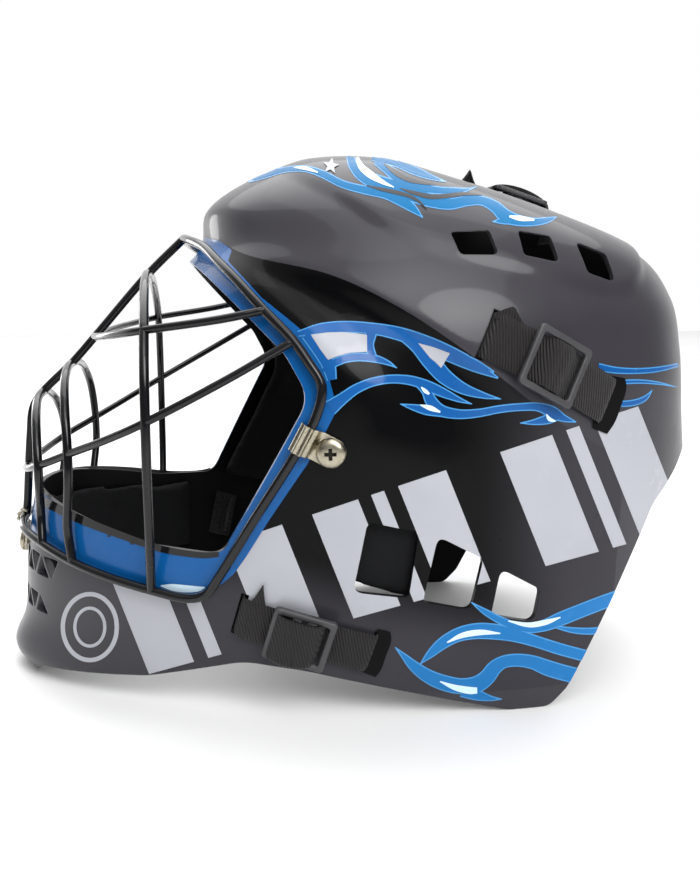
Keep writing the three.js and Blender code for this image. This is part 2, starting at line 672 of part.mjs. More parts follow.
function screwGeometry(frame) {
  const under = PLATE_LIFT + CLIP_PLATE + GAP;
  const profile = [
    [0, -WALL + GAP], [SHAFT_RADIUS, -WALL + GAP], [SHAFT_RADIUS, under], [HEAD_RADIUS, under],
    [HEAD_RADIUS, under + RIM_HEIGHT], [SHOULDER_RADIUS, under + SHOULDER_HEIGHT],
    [CROWN_RADIUS, under + HEAD_HEIGHT], [0, under + HEAD_HEIGHT],
  ].map(([radius, height]) => new THREE.Vector2(radius, height));
  let screw = toSolid(new THREE.LatheGeometry(profile, ROUND_SIDES));
  for (const [length, width] of [[RECESS_LENGTH, RECESS_WIDTH], [RECESS_WIDTH, RECESS_LENGTH]]) {
    const cut = new THREE.BoxGeometry(length, RECESS_DEPTH * 2, width);
    cut.translate(0, under + HEAD_HEIGHT, 0);
    screw = screw.subtract(toSolid(cut));
  }
  const geometry = toGeometry(screw);
  geometry.translate(CLIP_REACH, 0, 0);
  geometry.applyMatrix4(frame);
  return geometry;
}

function sideClipFrame() {
  const { point, normal } = leftSide(SIDE_CLIP.y, SIDE_CLIP.z);
  const ahead = leftSide(SIDE_CLIP.y + SIDE_CLIP.towardY, SIDE_CLIP.z + SIDE_CLIP.towardZ);
  return placeOn(point, ahead.point.clone().sub(point), normal.add(ahead.normal));
}

function chinClipFrame() {
  const origin = frontPoint(CHIN_CLIP.z);
  const run = frontPoint(CHIN_CLIP.z - CLIP_REACH).sub(origin);
  return placeOn(origin, run, new THREE.Vector3(0, -1, 0));
}

// Straps and sliders

function strapRun(strap) {
  const from = leftSide(strap.fromY, strap.fromZ);
  const to = leftSide(strap.toY, strap.toZ);
  const run = to.point.clone().sub(from.point);
  const frame = placeOn(from.point, run, from.normal.clone().add(to.normal));
  const end = to.point.clone().applyMatrix4(frame.clone().invert()).x;
  return { name: strap.name, frame, start: 0, end, slider: strap.slider, twin: true,
    height: (s) => heightOnLeft(frame, s) };
}

function crownRun(strap) {
  const from = crownPoint(strap.fromY);
  const to = crownPoint(strap.toY);
  const run = to.clone().sub(from);
  const frame = placeOn(from, run, new THREE.Vector3(0, 0, 1));
  const end = to.clone().applyMatrix4(frame.clone().invert()).x;
  return { name: 'crown', frame, start: 0, end, slider: strap.slider, twin: false,
    height: (s) => heightOnCrown(frame, s) };
}

// Height that the slider sits on: the surface under it, or under its higher end.
function seatOf(run) {
  const ends = [-0.5, 0, 0.5].map((share) => run.height(run.slider + share * SLIDER_LENGTH));
  return Math.max(...ends);
}

// Height of the webbing's middle, which rises over the slider's middle bar.
function webbingHeight(run, s) {
  const rest = run.height(s) + WEB_LIFT + WEB / 2;
  const over = seatOf(run) + WEB_LIFT + WEB / 2 + HUMP;
  return THREE.MathUtils.lerp(over, rest, smooth(HUMP_TOP, HUMP_FOOT, Math.abs(s - run.slider)));
}

function strapGeometry(run) {
  const bend = WEB_LIFT + WEB / 2 - BEND_DROP;
  const inside = WALL + TAIL_DEPTH;
  const first = run.height(run.start);
  const last = run.height(run.end);
  const path = [];
  path.push(new THREE.Vector2(run.start, first - inside));
  path.push(new THREE.Vector2(run.start, first - BEND_BELOW));
  path.push(new THREE.Vector2(run.start + BEND_IN, first + bend));
  for (let i = 0; i <= WEB_STEPS; i += 1) {
    const s = THREE.MathUtils.lerp(run.start + BEND_OUT, run.end - BEND_OUT, i / WEB_STEPS);
    path.push(new THREE.Vector2(s, webbingHeight(run, s)));
  }
  path.push(new THREE.Vector2(run.end - BEND_IN, last + bend));
  path.push(new THREE.Vector2(run.end, last - BEND_BELOW));
  path.push(new THREE.Vector2(run.end, last - inside));
  const geometry = strip(path, WEB, WEB_WIDTH);
  geometry.applyMatrix4(run.frame);
  return geometry;
}

function sliderGeometry(run) {
  const gap = 2 * CLEAR;
  const width = WEB_WIDTH + gap + 2 * SLIDER_BAR;
  const outer = new THREE.BoxGeometry(SLIDER_LENGTH, SLIDER_THICK, width);
  const openLength = SLIDER_LENGTH - 2 * SLIDER_BAR;
  const inner = new THREE.BoxGeometry(openLength, SLIDER_THICK * 2, WEB_WIDTH + gap);
  const bar = new THREE.BoxGeometry(SLIDER_BAR, SLIDER_MIDDLE_THICK, width - SLIDER_BAR);
  bar.translate(0, -SLIDER_MIDDLE_DROP, 0);
  const ring = toSolid(outer).subtract(toSolid(inner)).add(toSolid(bar));
  const geometry = toGeometry(ring);
  const middle = seatOf(run) + WEB_LIFT + WEB + gap + SLIDER_THICK / 2;
  geometry.translate(run.slider, middle, 0);
  geometry.applyMatrix4(run.frame);
  return geometry;
}

// Padding

function padGeometry(pad) {
  const start = WALL + CLEAR;
  const shellSide = formBody(start, INNER_AROUND, INNER_RINGS);
  const headSide = formBody(start + pad.deep, INNER_AROUND / 2, INNER_RINGS);
  const from = pad.side === 0 ? -REACH : 0;
  return toGeometry(shellSide.subtract(headSide).intersect(sidePrism(pad.outline, from, REACH, 1)));
}

const mask = new THREE.Group();
mask.position.y = -CENTRE;
const runs = [...SIDE_STRAPS.map(strapRun), crownRun(CROWN_STRAP)];
const clips = [
  { frame: sideClipFrame(), name: 'side', twin: true, notched: false },
  { frame: chinClipFrame(), name: 'chin', twin: false, notched: true },
];

mask.add(piece('shell', toGeometry(shellSolid(runs, clips)), 'shell'));
mask.add(piece('cage', toGeometry(cageSolid()), 'wire'));

for (const clip of clips) {
  const plate = clipGeometry(clip);
  const screw = screwGeometry(clip.frame);
  const ending = clip.twin ? '_left' : '';
  mask.add(piece(`clip_${clip.name}${ending}`, plate, 'steel'));
  mask.add(piece(`screw_${clip.name}${ending}`, screw, 'steel'));
  if (clip.twin) {
    mask.add(piece(`clip_${clip.name}_right`, mirrored(plate), 'steel'));
    mask.add(piece(`screw_${clip.name}_right`, mirrored(screw), 'steel'));
  }
}

for (const run of runs) {
  const webbing = strapGeometry(run);
  const slider = sliderGeometry(run);
  const ending = run.twin ? '_left' : '';
  mask.add(piece(`strap_${run.name}${ending}`, webbing, 'webbing'));
  mask.add(piece(`slider_${run.name}${ending}`, slider, 'buckle'));
  if (run.twin) {
    mask.add(piece(`strap_${run.name}_right`, mirrored(webbing), 'webbing'));
    mask.add(piece(`slider_${run.name}_right`, mirrored(slider), 'buckle'));
  }
}

for (const pad of PADS) {
  const geometry = padGeometry(pad);
  const ending = pad.side === 0 ? '' : '_left';
  mask.add(piece(`${pad.name}${ending}`, geometry, 'foam'));
  if (pad.side !== 0) mask.add(piece(`${pad.name}_right`, mirrored(geometry), 'foam'));
}

export default mask;
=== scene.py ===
import math

import bmesh
import bpy
import numpy as np
from mathutils import Matrix, Vector
from mathutils.bvhtree import BVHTree

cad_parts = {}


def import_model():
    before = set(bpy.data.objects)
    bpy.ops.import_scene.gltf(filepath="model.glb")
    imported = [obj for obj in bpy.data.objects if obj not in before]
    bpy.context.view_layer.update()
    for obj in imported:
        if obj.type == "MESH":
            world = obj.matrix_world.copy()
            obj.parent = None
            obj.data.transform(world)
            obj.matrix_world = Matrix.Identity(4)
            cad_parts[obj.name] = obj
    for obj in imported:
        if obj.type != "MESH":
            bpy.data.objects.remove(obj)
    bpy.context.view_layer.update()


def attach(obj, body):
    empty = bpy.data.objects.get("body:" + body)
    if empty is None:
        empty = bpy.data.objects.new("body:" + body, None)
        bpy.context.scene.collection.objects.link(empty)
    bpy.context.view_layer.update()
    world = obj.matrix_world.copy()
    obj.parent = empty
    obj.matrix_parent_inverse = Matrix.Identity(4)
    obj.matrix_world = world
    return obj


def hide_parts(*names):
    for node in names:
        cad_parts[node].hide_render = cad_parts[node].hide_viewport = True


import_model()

MM = 0.001
CENTRE = 5.0

# ---------------------------------------------------------------- the moulded surface
# z, foremost y, rearmost y, half width, y of the widest place, front and rear exponents
SECTIONS = np.array([
    (-10, -142, 166, 95, 66, 1.4, 2.2), (0, -155, 168, 98, 60, 1.45, 2.2),
    (12, -163, 170, 101, 52, 1.5, 2.2), (30, -157, 171, 105, 40, 1.62, 2.2),
    (60, -154.5, 172, 111, 24, 1.76, 2.2), (95, -148, 174, 116, 16, 1.84, 2.2),
    (125, -136, 171, 119, 16, 2, 2.2), (155, -116, 168, 119, 20, 2.1, 2.2),
    (180, -93, 162, 113, 24, 2.2, 2.2), (201, -69, 144, 101, 26, 2.3, 2.12),
    (220, -64.5, 96, 82, 20, 2.3, 2.05), (234, -45, 51, 57, 10, 2.2, 2),
    (241.5, -23, 27, 31, 4, 2, 2), (244, 0, 0, 0, 0, 2, 2)], float)
LAST = len(SECTIONS) - 1
BAND_EDGE_LINE = [(-34, 238), (-22, 229), (-9, 220), (2, 211), (17, 203), (32, 198), (55, 193),
                  (80, 187), (104, 183), (118, 186), (129, 196), (137, 214)]
RIDGE_LINE = [(-62, 206), (-48, 197), (-18, 189), (8, 176), (35, 158), (70, 132)]
BORDER_LINE = [(56, -66), (75, -53), (91, -44), (116, -29), (128, -22), (141, -18), (151, -20),
               (168, -31), (180, -45), (200, -58)]
WALL = 3.0
BAND_RAISE = 2.0
CHEEK_SINK = 4.5

FACE_OPENING = [(-260, 198, 0), (-75, 198, 7), (-37, 158, 14), (-28, 141, 14), (-63, 75, 9),
                (-94, 77, 30), (-142, 90, 20), (-260, 91, 0)]
LOWER_EDGE = [(-260, 0, 0), (-152, 0, 3), (-146, 7.5, 5), (-96, 13, 40), (-54, 24.5, 30),
              (-28, 21, 60), (62, 0, 12), (80, 0, 8), (88, 8, 8), (131, 88, 20), (158, 108, 20),
              (260, 108, 0), (260, -60, 0), (-260, -60, 0)]
SIDE_VENTS = {
    "crown_front": [(31, 206, 1.5), (48, 207, 1.5), (50, 197, 2), (34, 197, 3)],
    "crown_middle": [(61, 207, 1.5), (76, 205, 1.5), (77, 194, 2), (61, 197, 2)],
    "crown_rear": [(88, 203, 2), (103, 198, 2), (104, 186, 2), (90, 190, 3)],
    "jaw_front": [(-5, 91, 3), (16, 86, 3), (13, 57, 3), (-10, 60, 4)],
    "jaw_middle": [(24, 84, 3), (44, 73, 3), (40, 50, 4), (19, 55, 3)],
    "jaw_rear": [(52, 68, 3), (71, 57, 4), (69, 42, 4), (49, 47, 3)],
}
CHIN_ROWS = [(57, 10, 11, 46, 5), (38, 9, 9, 35, 4)]
CHIN_BAR = 1.6
FAR = 400.0


def smooth(a, b, v):
    """0 up to a, 1 from b on, eased between them."""
    s = np.clip((v - a) / (b - a), 0, 1)
    return s * s * (3 - 2 * s)


def shares(count):
    """Even shares from 0 to 1."""
    return [i / count for i in range(count + 1)]


def spline(a, b, c, d, s):
    """The smooth curve through four values, at share s of the way from b to c."""
    return (2 * b + (c - a) * s + (2 * a - 5 * b + 4 * c - d) * s ** 2 + (3 * b - a - 3 * c + d) * s ** 3) / 2


def bisect(low, high, before):
    """Where before() stops being true between low and high."""
    for _ in range(40):
        middle = (low + high) / 2
        if before(middle):
            low = middle
        else:
            high = middle
    return low


def eased(line, steps=6):
    """A polyline resampled on a smooth curve, for np.interp."""
    p = np.array(line, float)
    out = []
    for i in range(len(p) - 1):
        a, b = p[max(i - 1, 0)], p[i]
        c, d = p[i + 1], p[min(i + 2, len(p) - 1)]
        out += [spline(a, b, c, d, k / steps) for k in range(steps)]
    out.append(p[-1])
    out = np.array(out)
    return out[np.argsort(out[:, 0])]


BAND_CURVE = eased(BAND_EDGE_LINE)
RIDGE_CURVE = eased(RIDGE_LINE)
BORDER_CURVE = eased(BORDER_LINE)


def section(t):
    """Row of the section table at place t. The topmost step is closed by a shallow dome."""
    t = np.clip(np.asarray(t, float), 0, LAST)
    i = np.minimum(np.floor(t).astype(int), LAST - 1)
    s = (t - i)[..., None]
    a, b, c, d = (SECTIONS[np.clip(i + k, 0, LAST)] for k in (-1, 0, 1, 2))
    row = spline(a, b, c, d, s)
    top = i == LAST - 1
    flat = b + (c - b) * s
    flat[..., 0] = SECTIONS[-1, 0] - (SECTIONS[-1, 0] - SECTIONS[-2, 0]) * (1 - s[..., 0]) ** 2
    return np.where(top[..., None], flat, row)


def relief(y, z):
    """How far the surface is raised by the crown's band and sunk in the cheek, in millimetres."""
    above = z - np.interp(y, BAND_CURVE[:, 0], BAND_CURVE[:, 1])
    ends = smooth(-40, -16, y) * (1 - smooth(134, 142, y))
    band = BAND_RAISE * smooth(-4.5, 4.5, above) * ends
    below = np.interp(y, RIDGE_CURVE[:, 0], RIDGE_CURVE[:, 1]) - z
    behind = y - np.interp(z, BORDER_CURVE[:, 0], BORDER_CURVE[:, 1])
    hollow = CHEEK_SINK * smooth(-2, 9, below) * (1 - smooth(16, 66, below))
    return band - hollow * smooth(2, 22, behind) * (1 - smooth(20, 62, y))


def plain(t, u):
    """Point of the smooth form at place t of the section table and angle u round it."""
    row = section(t)
    z, front, back, half, mid, nose, nape = np.moveaxis(row, -1, 0)
    s, c = np.sin(u), np.cos(u)
    ahead = s < 0
    p = 2 / np.where(ahead, nose, nape)
    ease = 0.16 ** 2
    y_share = s * ((s * s + ease) / (1 + ease)) ** ((p - 1) / 2)
    x_share = np.where(ahead, c, c * (c * c + 1e-6) ** ((p - 1) / 2))
    reach = np.where(ahead, mid - front, back - mid)
    return np.stack([half * x_share, mid + reach * y_share, z], -1)


def plain_normal(t, u):
    e = 0.004
    round_ = plain(t, u + e) - plain(t, u - e)
    up = plain(np.minimum(t + e, LAST), u) - plain(np.maximum(t - e, 0), u)
    n = np.cross(round_, up)
    n /= np.maximum(np.linalg.norm(n, axis=-1, keepdims=True), 1e-9)
    pole = np.asarray(t) > LAST - 0.01
    return np.where(np.broadcast_to(pole, n.shape[:-1])[..., None], np.array([0, 0, 1.0]), n)


def surface(t, u, inset=0.0):
    """Point of the moulded surface, moved in by inset, in millimetres."""
    p = plain(t, u)
    out = relief(p[..., 1], p[..., 2]) - inset
    return p + plain_normal(t, u) * out[..., None]


def left_side(y, z):
    """Point and outward direction of the left side at this y and z, in millimetres."""
    t = bisect(0.0, float(LAST), lambda place: section(place)[0] < z)
    u = bisect(-math.pi / 2, math.pi / 2, lambda angle: plain(t, angle)[1] < y)
    return surface(t, u), plain_normal(t, u)


def world(p):
    """Millimetres of the section table to metres of the scene."""
    p = np.asarray(p, float)
    return (p - np.array([0, CENTRE, 0])) * MM


def ring_places(count):
    """Places along the section table at even steps over the surface."""
    t = np.linspace(0, LAST, 1600)
    total = np.zeros(len(t) - 1)
    for u in (-math.pi / 2, 0.0, math.pi / 2):
        total += np.linalg.norm(np.diff(plain(t, np.full_like(t, u)), axis=0), axis=1)
    run = np.concatenate([[0], np.cumsum(total)])
    return np.interp(np.linspace(0, run[-1], count + 1), run, t)


def skin(rings, count):
    """Quads between closed rings of count vertices that follow one another."""
    out = []
    for i in range(rings - 1):
        for k in range(count):
            n = (k + 1) % count
            out.append((i * count + k, i * count + n, (i + 1) * count + n, (i + 1) * count + k))
    return out


def form_mesh(name, inset, around, rings):
    """A closed body inside the surface moved in by inset, in metres."""
    places = ring_places(rings)[:-1]
    u = np.arange(around) / around * 2 * math.pi
    grid = surface(places[:, None] + 0 * u[None], u[None] + 0 * places[:, None], inset)
    verts = list(world(grid.reshape(-1, 3)))
    verts.append(world(surface(np.array(float(LAST)), np.array(0.0), inset)))
    verts.append(world([0, SECTIONS[0][4], SECTIONS[0][0]]))
    faces = skin(rings, around)
    top = rings * around
    for j in range(around):
        k = (j + 1) % around
        faces.append(((rings - 1) * around + j, (rings - 1) * around + k, top))
        faces.append((k, j, top + 1))
    return mesh_object(name, verts, faces)


# ---------------------------------------------------------------- helpers for meshes
def mesh_object(name, verts, faces):
    me = bpy.data.meshes.new(name)
    me.from_pydata([tuple(v) for v in verts], [], [tuple(f) for f in faces])
    me.update()
    ob = bpy.data.objects.new(name, me)
    bpy.context.collection.objects.link(ob)
    return ob


def remove(ob):
    me = ob.data
    bpy.data.objects.remove(ob)
    bpy.data.meshes.remove(me)


def baked(ob):
    """Applies the object's modifiers to its mesh."""
    deps = bpy.context.evaluated_depsgraph_get()
    me = bpy.data.meshes.new_from_object(ob.evaluated_get(deps))
    old = ob.data
    me.materials.clear()
    ob.modifiers.clear()
    ob.data = me
    bpy.data.meshes.remove(old)


def boolean(ob, cutters, operation="DIFFERENCE"):
    """Cuts the mesh with the cutters, which are used up."""
    for cutter in cutters:
        mod = ob.modifiers.new("cut", "BOOLEAN")
        mod.operation = operation
        mod.solver = "MANIFOLD"
        mod.object = cutter
    baked(ob)
    for cutter in cutters:
        remove(cutter)


def joined(name, parts):
    """One mesh of several, which are used up."""
    verts, faces = [], []
    for part in parts:
        base = len(verts)
        verts += [v.co.copy() for v in part.data.vertices]
        faces += [[base + i for i in f.vertices] for f in part.data.polygons]
        remove(part)
    return mesh_object(name, verts, faces)


def rounded_outline(corners, steps=8):
    """Corners (a, b, radius) to a list of 2-D points with each corner rounded."""
    pts = []
    n = len(corners)
    for i, (a, b, r) in enumerate(corners):
        here = np.array([a, b], float)
        back = np.array(corners[i - 1][:2], float) - here
        on = np.array(corners[(i + 1) % n][:2], float) - here
        lb, lo = np.linalg.norm(back), np.linalg.norm(on)
        half = math.acos(max(-1, min(1, back @ on / lb / lo))) / 2
        cut = min(r / math.tan(half), min(lb, lo) * 0.45)
        if cut <= 0:
            pts.append(here)
            continue
        start, end = here + back / lb * cut, here + on / lo * cut
        for k in range(steps + 1):
            s = k / steps
            pts.append((1 - s) ** 2 * start + 2 * s * (1 - s) * here + s * s * end)
    return pts


def prism(name, pts, turn, corner, ends):
    """A prism on a 2-D outline. corner(end, point) gives each vertex in millimetres."""
    area = sum(pts[i - 1][0] * pts[i][1] - pts[i][0] * pts[i - 1][1] for i in range(len(pts)))
    if area * turn < 0:
        pts = pts[::-1]
    n = len(pts)
    verts = [world(corner(end, p)) for end in ends for p in pts]
    return mesh_object(name, verts, [range(n)[::-1], range(n, 2 * n)] + skin(2, n))


def side_prism(name, corners, x0=-FAR, steps=8):
    """A prism across the mask on an outline in the side view."""
    return prism(name, rounded_outline(corners, steps), 1, lambda x, p: [x, p[0], p[1]], (x0, FAR))


def slab(rows, cols):
    """Faces of a plate whose two sides are grids of rows by cols vertices, one after the other."""
    faces, low = [], rows * cols
    for i in range(rows - 1):
        for k in range(cols - 1):
            a, b = i * cols + k, (i + 1) * cols + k
            faces += [(a, b, b + 1, a + 1), (low + a, low + a + 1, low + b + 1, low + b)]
    edge = list(range(cols)) + [i * cols + cols - 1 for i in range(1, rows)]
    edge += [(rows - 1) * cols + k for k in range(cols - 2, -1, -1)]
    edge += [i * cols for i in range(rows - 2, 0, -1)]
    return faces + [(a, b, low + b, low + a) for a, b in zip(edge, edge[1:] + edge[:1])]


def frame_matrix(origin, run, normal):
    """First axis along run, second outward, third across, in metres."""
    a = Vector(run).normalized()
    o = (Vector(normal) - a * Vector(normal).dot(a)).normalized()
    c = a.cross(o)
    m = Matrix((a, o, c)).transposed().to_4x4()
    m.translation = Vector(world(origin))
    return m


def box_mesh(name, size, centre, matrix):
    """A box in a frame, with its size and centre in millimetres."""
    sx, sy, sz = (s / 2 for s in size)
    cx, cy, cz = centre
    v = [(cx + i * sx, cy + j * sy, cz + k * sz) for i in (-1, 1) for j in (-1, 1) for k in (-1, 1)]
    f = [(0, 1, 3, 2), (4, 6, 7, 5), (0, 4, 5, 1), (2, 3, 7, 6), (0, 2, 6, 4), (1, 5, 7, 3)]
    return mesh_object(name, [matrix @ (Vector(p) * MM) for p in v], f)


def lay_uv(ob, uvs):
    """One place on the weave for each vertex."""
    layer = ob.data.uv_layers.new(name="run")
    for loop in ob.data.loops:
        layer.data[loop.index].uv = uvs[loop.vertex_index]


def mirrored_copy(ob, name):
    """The mesh mirrored to the other side, with its materials, smoothness and weave."""
    verts = [(-v.co.x, v.co.y, v.co.z) for v in ob.data.vertices]
    faces = [list(f.vertices)[::-1] for f in ob.data.polygons]
    copy = mesh_object(name, verts, faces)
    for m in ob.data.materials:
        copy.data.materials.append(m)
    for a, b in zip(ob.data.polygons, copy.data.polygons):
        b.material_index = a.material_index
        b.use_smooth = a.use_smooth
    for layer in ob.data.uv_layers:
        lay_uv(copy, {loop.vertex_index: layer.data[loop.index].uv.copy() for loop in ob.data.loops})
    return copy


def shade(ob, angle=None):
    """Smooth shading, with sharp edges where the faces turn by more than the angle."""
    for f in ob.data.polygons:
        f.use_smooth = True
    if angle is not None:
        ob.data.set_sharp_from_angle(angle=math.radians(angle))


def outward(ob):
    """Turns the faces of a closed mesh outward."""
    bm = bmesh.new()
    bm.from_mesh(ob.data)
    bmesh.ops.recalc_face_normals(bm, faces=bm.faces)
    bm.to_mesh(ob.data)
    bm.free()


def dress(ob, node_name):
    """Fixes a piece to the mask, with the solid that it stands for, if any."""
    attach(ob, "root")
    if node_name:
        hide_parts(node_name)


def place(ob, node_name, slot, angle, twin):
    """Dresses a piece, and its mirrored copy where it has a twin on the right."""
    dress(ob, node_name)
    if twin:
        other = mirrored_copy(ob, ob.name.replace("left", "right"))
        shade(other, angle)
        dress(other, node_name and node_name.replace("left", "right"))


def catmull(points, step):
    """Centripetal Catmull-Rom curve through the points, evenly resampled."""
    p = [np.array(q, float) for q in points]
    p = [2 * p[0] - p[1]] + p + [2 * p[-1] - p[-2]]
    out = []
    for i in range(1, len(p) - 2):
        p0, p1, p2, p3 = p[i - 1:i + 3]
        d = [max(np.linalg.norm(b - a) ** 0.5, 1e-6) for a, b in ((p0, p1), (p1, p2), (p2, p3))]
        m1 = (p1 - p0) / d[0] - (p2 - p0) / (d[0] + d[1]) + (p2 - p1) / d[1]
        m2 = (p2 - p1) / d[1] - (p3 - p1) / (d[1] + d[2]) + (p3 - p2) / d[2]
        m1, m2 = m1 * d[1], m2 * d[1]
        for k in range(24):
            s = k / 24
            out.append((2 * s ** 3 - 3 * s ** 2 + 1) * p1 + (s ** 3 - 2 * s ** 2 + s) * m1
                       + (3 * s ** 2 - 2 * s ** 3) * p2 + (s ** 3 - s ** 2) * m2)
    out.append(p[-2])
    out = np.array(out)
    run = np.concatenate([[0], np.cumsum(np.linalg.norm(np.diff(out, axis=0), axis=1))])
    count = max(2, int(round(run[-1] / step)))
    at = np.linspace(0, run[-1], count + 1)
    return np.stack([np.interp(at, run, out[:, k]) for k in range(out.shape[1])], -1)


def tube(points, radius, sides=14):
    """Verts and faces of a capped tube with rounded ends along points, in metres."""
    pts = [Vector(p) for p in points]
    tangents = [(pts[min(i + 1, len(pts) - 1)] - pts[max(i - 1, 0)]).normalized() for i in range(len(pts))]
    normal = tangents[0].orthogonal().normalized()
    verts = []
    ends = [(-radius, 0.05), (-radius * 0.8, 0.6), (-radius * 0.4, 0.92)]
    plan = [(0, off, k) for off, k in ends] + [(i, 0, 1) for i in range(len(pts))]
    plan += [(len(pts) - 1, -off, k) for off, k in reversed(ends)]
    for i, off, k in plan:
        t = tangents[i]
        normal = (normal - t * normal.dot(t)).normalized()
        other = t.cross(normal)
        for j in range(sides):
            a = j / sides * 2 * math.pi
            verts.append(pts[i] + t * off + (normal * math.cos(a) + other * math.sin(a)) * radius * k)
    count = len(verts)
    return verts, skin(len(plan), sides) + [range(sides)[::-1], range(count - sides, count)]


# ---------------------------------------------------------------- materials
def nodes_of(name):
    """A material with one shader, its node tree and that shader."""
    m = bpy.data.materials.new(name)
    m.use_nodes = True
    nt = m.node_tree
    nt.nodes.clear()
    out = nt.nodes.new("ShaderNodeOutputMaterial")
    bsdf = nt.nodes.new("ShaderNodeBsdfPrincipled")
    nt.links.new(bsdf.outputs[0], out.inputs[0])
    return m, nt, bsdf


def plug(nt, n, inputs):
    """Links each input that is given a socket and sets the others."""
    for k, v in inputs.items():
        if isinstance(v, bpy.types.NodeSocket):
            nt.links.new(v, n.inputs[k])
        else:
            n.inputs[k].default_value = v


def node(nt, kind, inputs=None, **props):
    """A node with its inputs plugged."""
    n = nt.nodes.new(kind)
    for k, v in props.items():
        setattr(n, k, v)
    plug(nt, n, inputs or {})
    return n


def place_on(nt):
    return node(nt, "ShaderNodeTexCoord").outputs["Object"]


def noise(nt, at, scale, detail, **more):
    inputs = {"Vector": at, "Scale": scale, "Detail": detail, **more}
    return node(nt, "ShaderNodeTexNoise", inputs).outputs[0]


def bevelled(nt, radius):
    return node(nt, "ShaderNodeBevel", {"Radius": radius}, samples=4).outputs[0]


def bumped(nt, height, strength, distance, **more):
    inputs = {"Height": height, "Strength": strength, "Distance": distance, **more}
    return node(nt, "ShaderNodeBump", inputs).outputs[0]


def ramp(nt, value, stops):
    """Colours blended along a value, as (place, colour) stops."""
    r = node(nt, "ShaderNodeValToRGB", {0: value})
    e = r.color_ramp.elements
    while len(e) < len(stops):
        e.new(0.5)
    for el, (pos, col) in zip(e, stops):
        el.position = pos
        el.color = (*col, 1)
    return r.outputs[0]


def paint(name, base, tint, rough=(0.22, 0.3), coat=0.28, bevel=0.0007, gloss=0.08, haze=0.05, shade_colour=None):
    """Glossy paint under clear coat: faint colour drift, orange peel and uneven gloss."""
    m, nt, b = nodes_of(name)
    pos = place_on(nt)
    colour = ramp(nt, noise(nt, pos, 14.0, 3.0), [(0.3, base), (0.7, tint)])
    # Painted shade: a black colour mixed in where the cheek attribute is high.
    if shade_colour:
        share = node(nt, "ShaderNodeAttribute", attribute_name="cheek").outputs["Fac"]
        mix = node(nt, "ShaderNodeMix", {0: share, 6: colour, 7: (*shade_colour, 1)}, data_type="RGBA")
        colour = mix.outputs[2]
    wear = noise(nt, pos, 60.0, 6.0, Roughness=0.7)
    r = node(nt, "ShaderNodeMapRange", {0: wear, 1: 0.3, 2: 0.75, 3: rough[0], 4: rough[1]})
    soft = {"Normal": bevelled(nt, bevel)} if bevel else {}
    peel = bumped(nt, noise(nt, pos, 900.0, 2.0), 0.03, 0.0002, **soft)
    if soft:
        plug(nt, b, {"Coat Normal": soft["Normal"]})
    plug(nt, b, {"Base Color": colour, "Roughness": r.outputs[0], "Normal": peel, "Coat Weight": coat,
                 "Coat Roughness": haze, "Specular IOR Level": gloss})
    return m


def foam_material():
    """Black open-celled foam with a little dust."""
    m, nt, b = nodes_of("foam_black")
    pos = place_on(nt)
    cells = node(nt, "ShaderNodeTexVoronoi", {"Vector": pos, "Scale": 1100.0}).outputs["Distance"]
    cloud = noise(nt, pos, 35.0, 5.0)
    dust = ramp(nt, cloud, [(0.3, (0.0025, 0.0028, 0.0032)), (0.75, (0.006, 0.0064, 0.0075))])
    plug(nt, b, {"Base Color": dust, "Normal": bumped(nt, cells, 0.35, 0.0004), "Roughness": 0.85,
                 "Specular IOR Level": 0.2})
    return m


def webbing_material():
    """Black webbing with slanted ribs and fine cross threads."""
    m, nt, b = nodes_of("webbing_ribbed")
    uv = node(nt, "ShaderNodeUVMap").outputs[0]
    turned = node(nt, "ShaderNodeMapping", {0: uv, 2: (0, 0, math.radians(24))}).outputs[0]
    ribs, cross = (
        node(nt, "ShaderNodeTexWave", inputs, bands_direction=way, wave_type="BANDS", wave_profile="SIN")
        for inputs, way in (({"Vector": turned, "Scale": 250.0, "Distortion": 0.5, "Detail Scale": 3.0}, "X"),
                            ({"Vector": uv, "Scale": 420.0, "Distortion": 0.6}, "Y")))
    ribs, cross = ribs.outputs[1], cross.outputs[1]
    both = node(nt, "ShaderNodeMath", {0: ribs, 1: cross}, operation="MULTIPLY").outputs[0]
    height = node(nt, "ShaderNodeMath", {0: both, 1: 0.35, 2: ribs}, operation="MULTIPLY_ADD").outputs[0]
    # Black yarn, darker in the valleys between the ribs and lighter on their crests: painted shade and
    # painted highlight.
    rib_shaded_yarn = ramp(nt, ribs, [(0.0, (0.003, 0.0026, 0.0027)), (1.0, (0.018, 0.015, 0.016))])
    plug(nt, b, {"Base Color": rib_shaded_yarn, "Normal": bumped(nt, height, 0.8, 0.0004), "Roughness": 0.62,
                 "Specular IOR Level": 0.3, "Sheen Weight": 0.06})
    return m


def plastic_material():
    """Grey moulded plastic with a fine grain."""
    m, nt, b = nodes_of("slider_plastic_grey")
    pos = place_on(nt)
    cloud = ramp(nt, noise(nt, pos, 80.0, 4.0), [(0.3, (0.035, 0.034, 0.037)), (0.75, (0.055, 0.053, 0.058))])
    grain = bumped(nt, noise(nt, pos, 1500.0, 3.0), 0.25, 0.0002, Normal=bevelled(nt, 0.0005))
    plug(nt, b, {"Base Color": cloud, "Normal": grain, "Roughness": 0.45})
    return m


def nickel_material():
    """Yellowish nickel plating with cloudy gloss."""
    m, nt, b = nodes_of("nickel_plate")
    cloud = noise(nt, place_on(nt), 220.0, 5.0)
    plate = ramp(nt, cloud, [(0.25, (0.3, 0.27, 0.2)), (0.75, (0.5, 0.46, 0.36))])
    r = node(nt, "ShaderNodeMapRange", {0: cloud, 1: 0.3, 2: 0.7, 3: 0.2, 4: 0.36})
    plug(nt, b, {"Base Color": plate, "Roughness": r.outputs[0], "Normal": bevelled(nt, 0.0004),
                 "Metallic": 1.0})
    return m


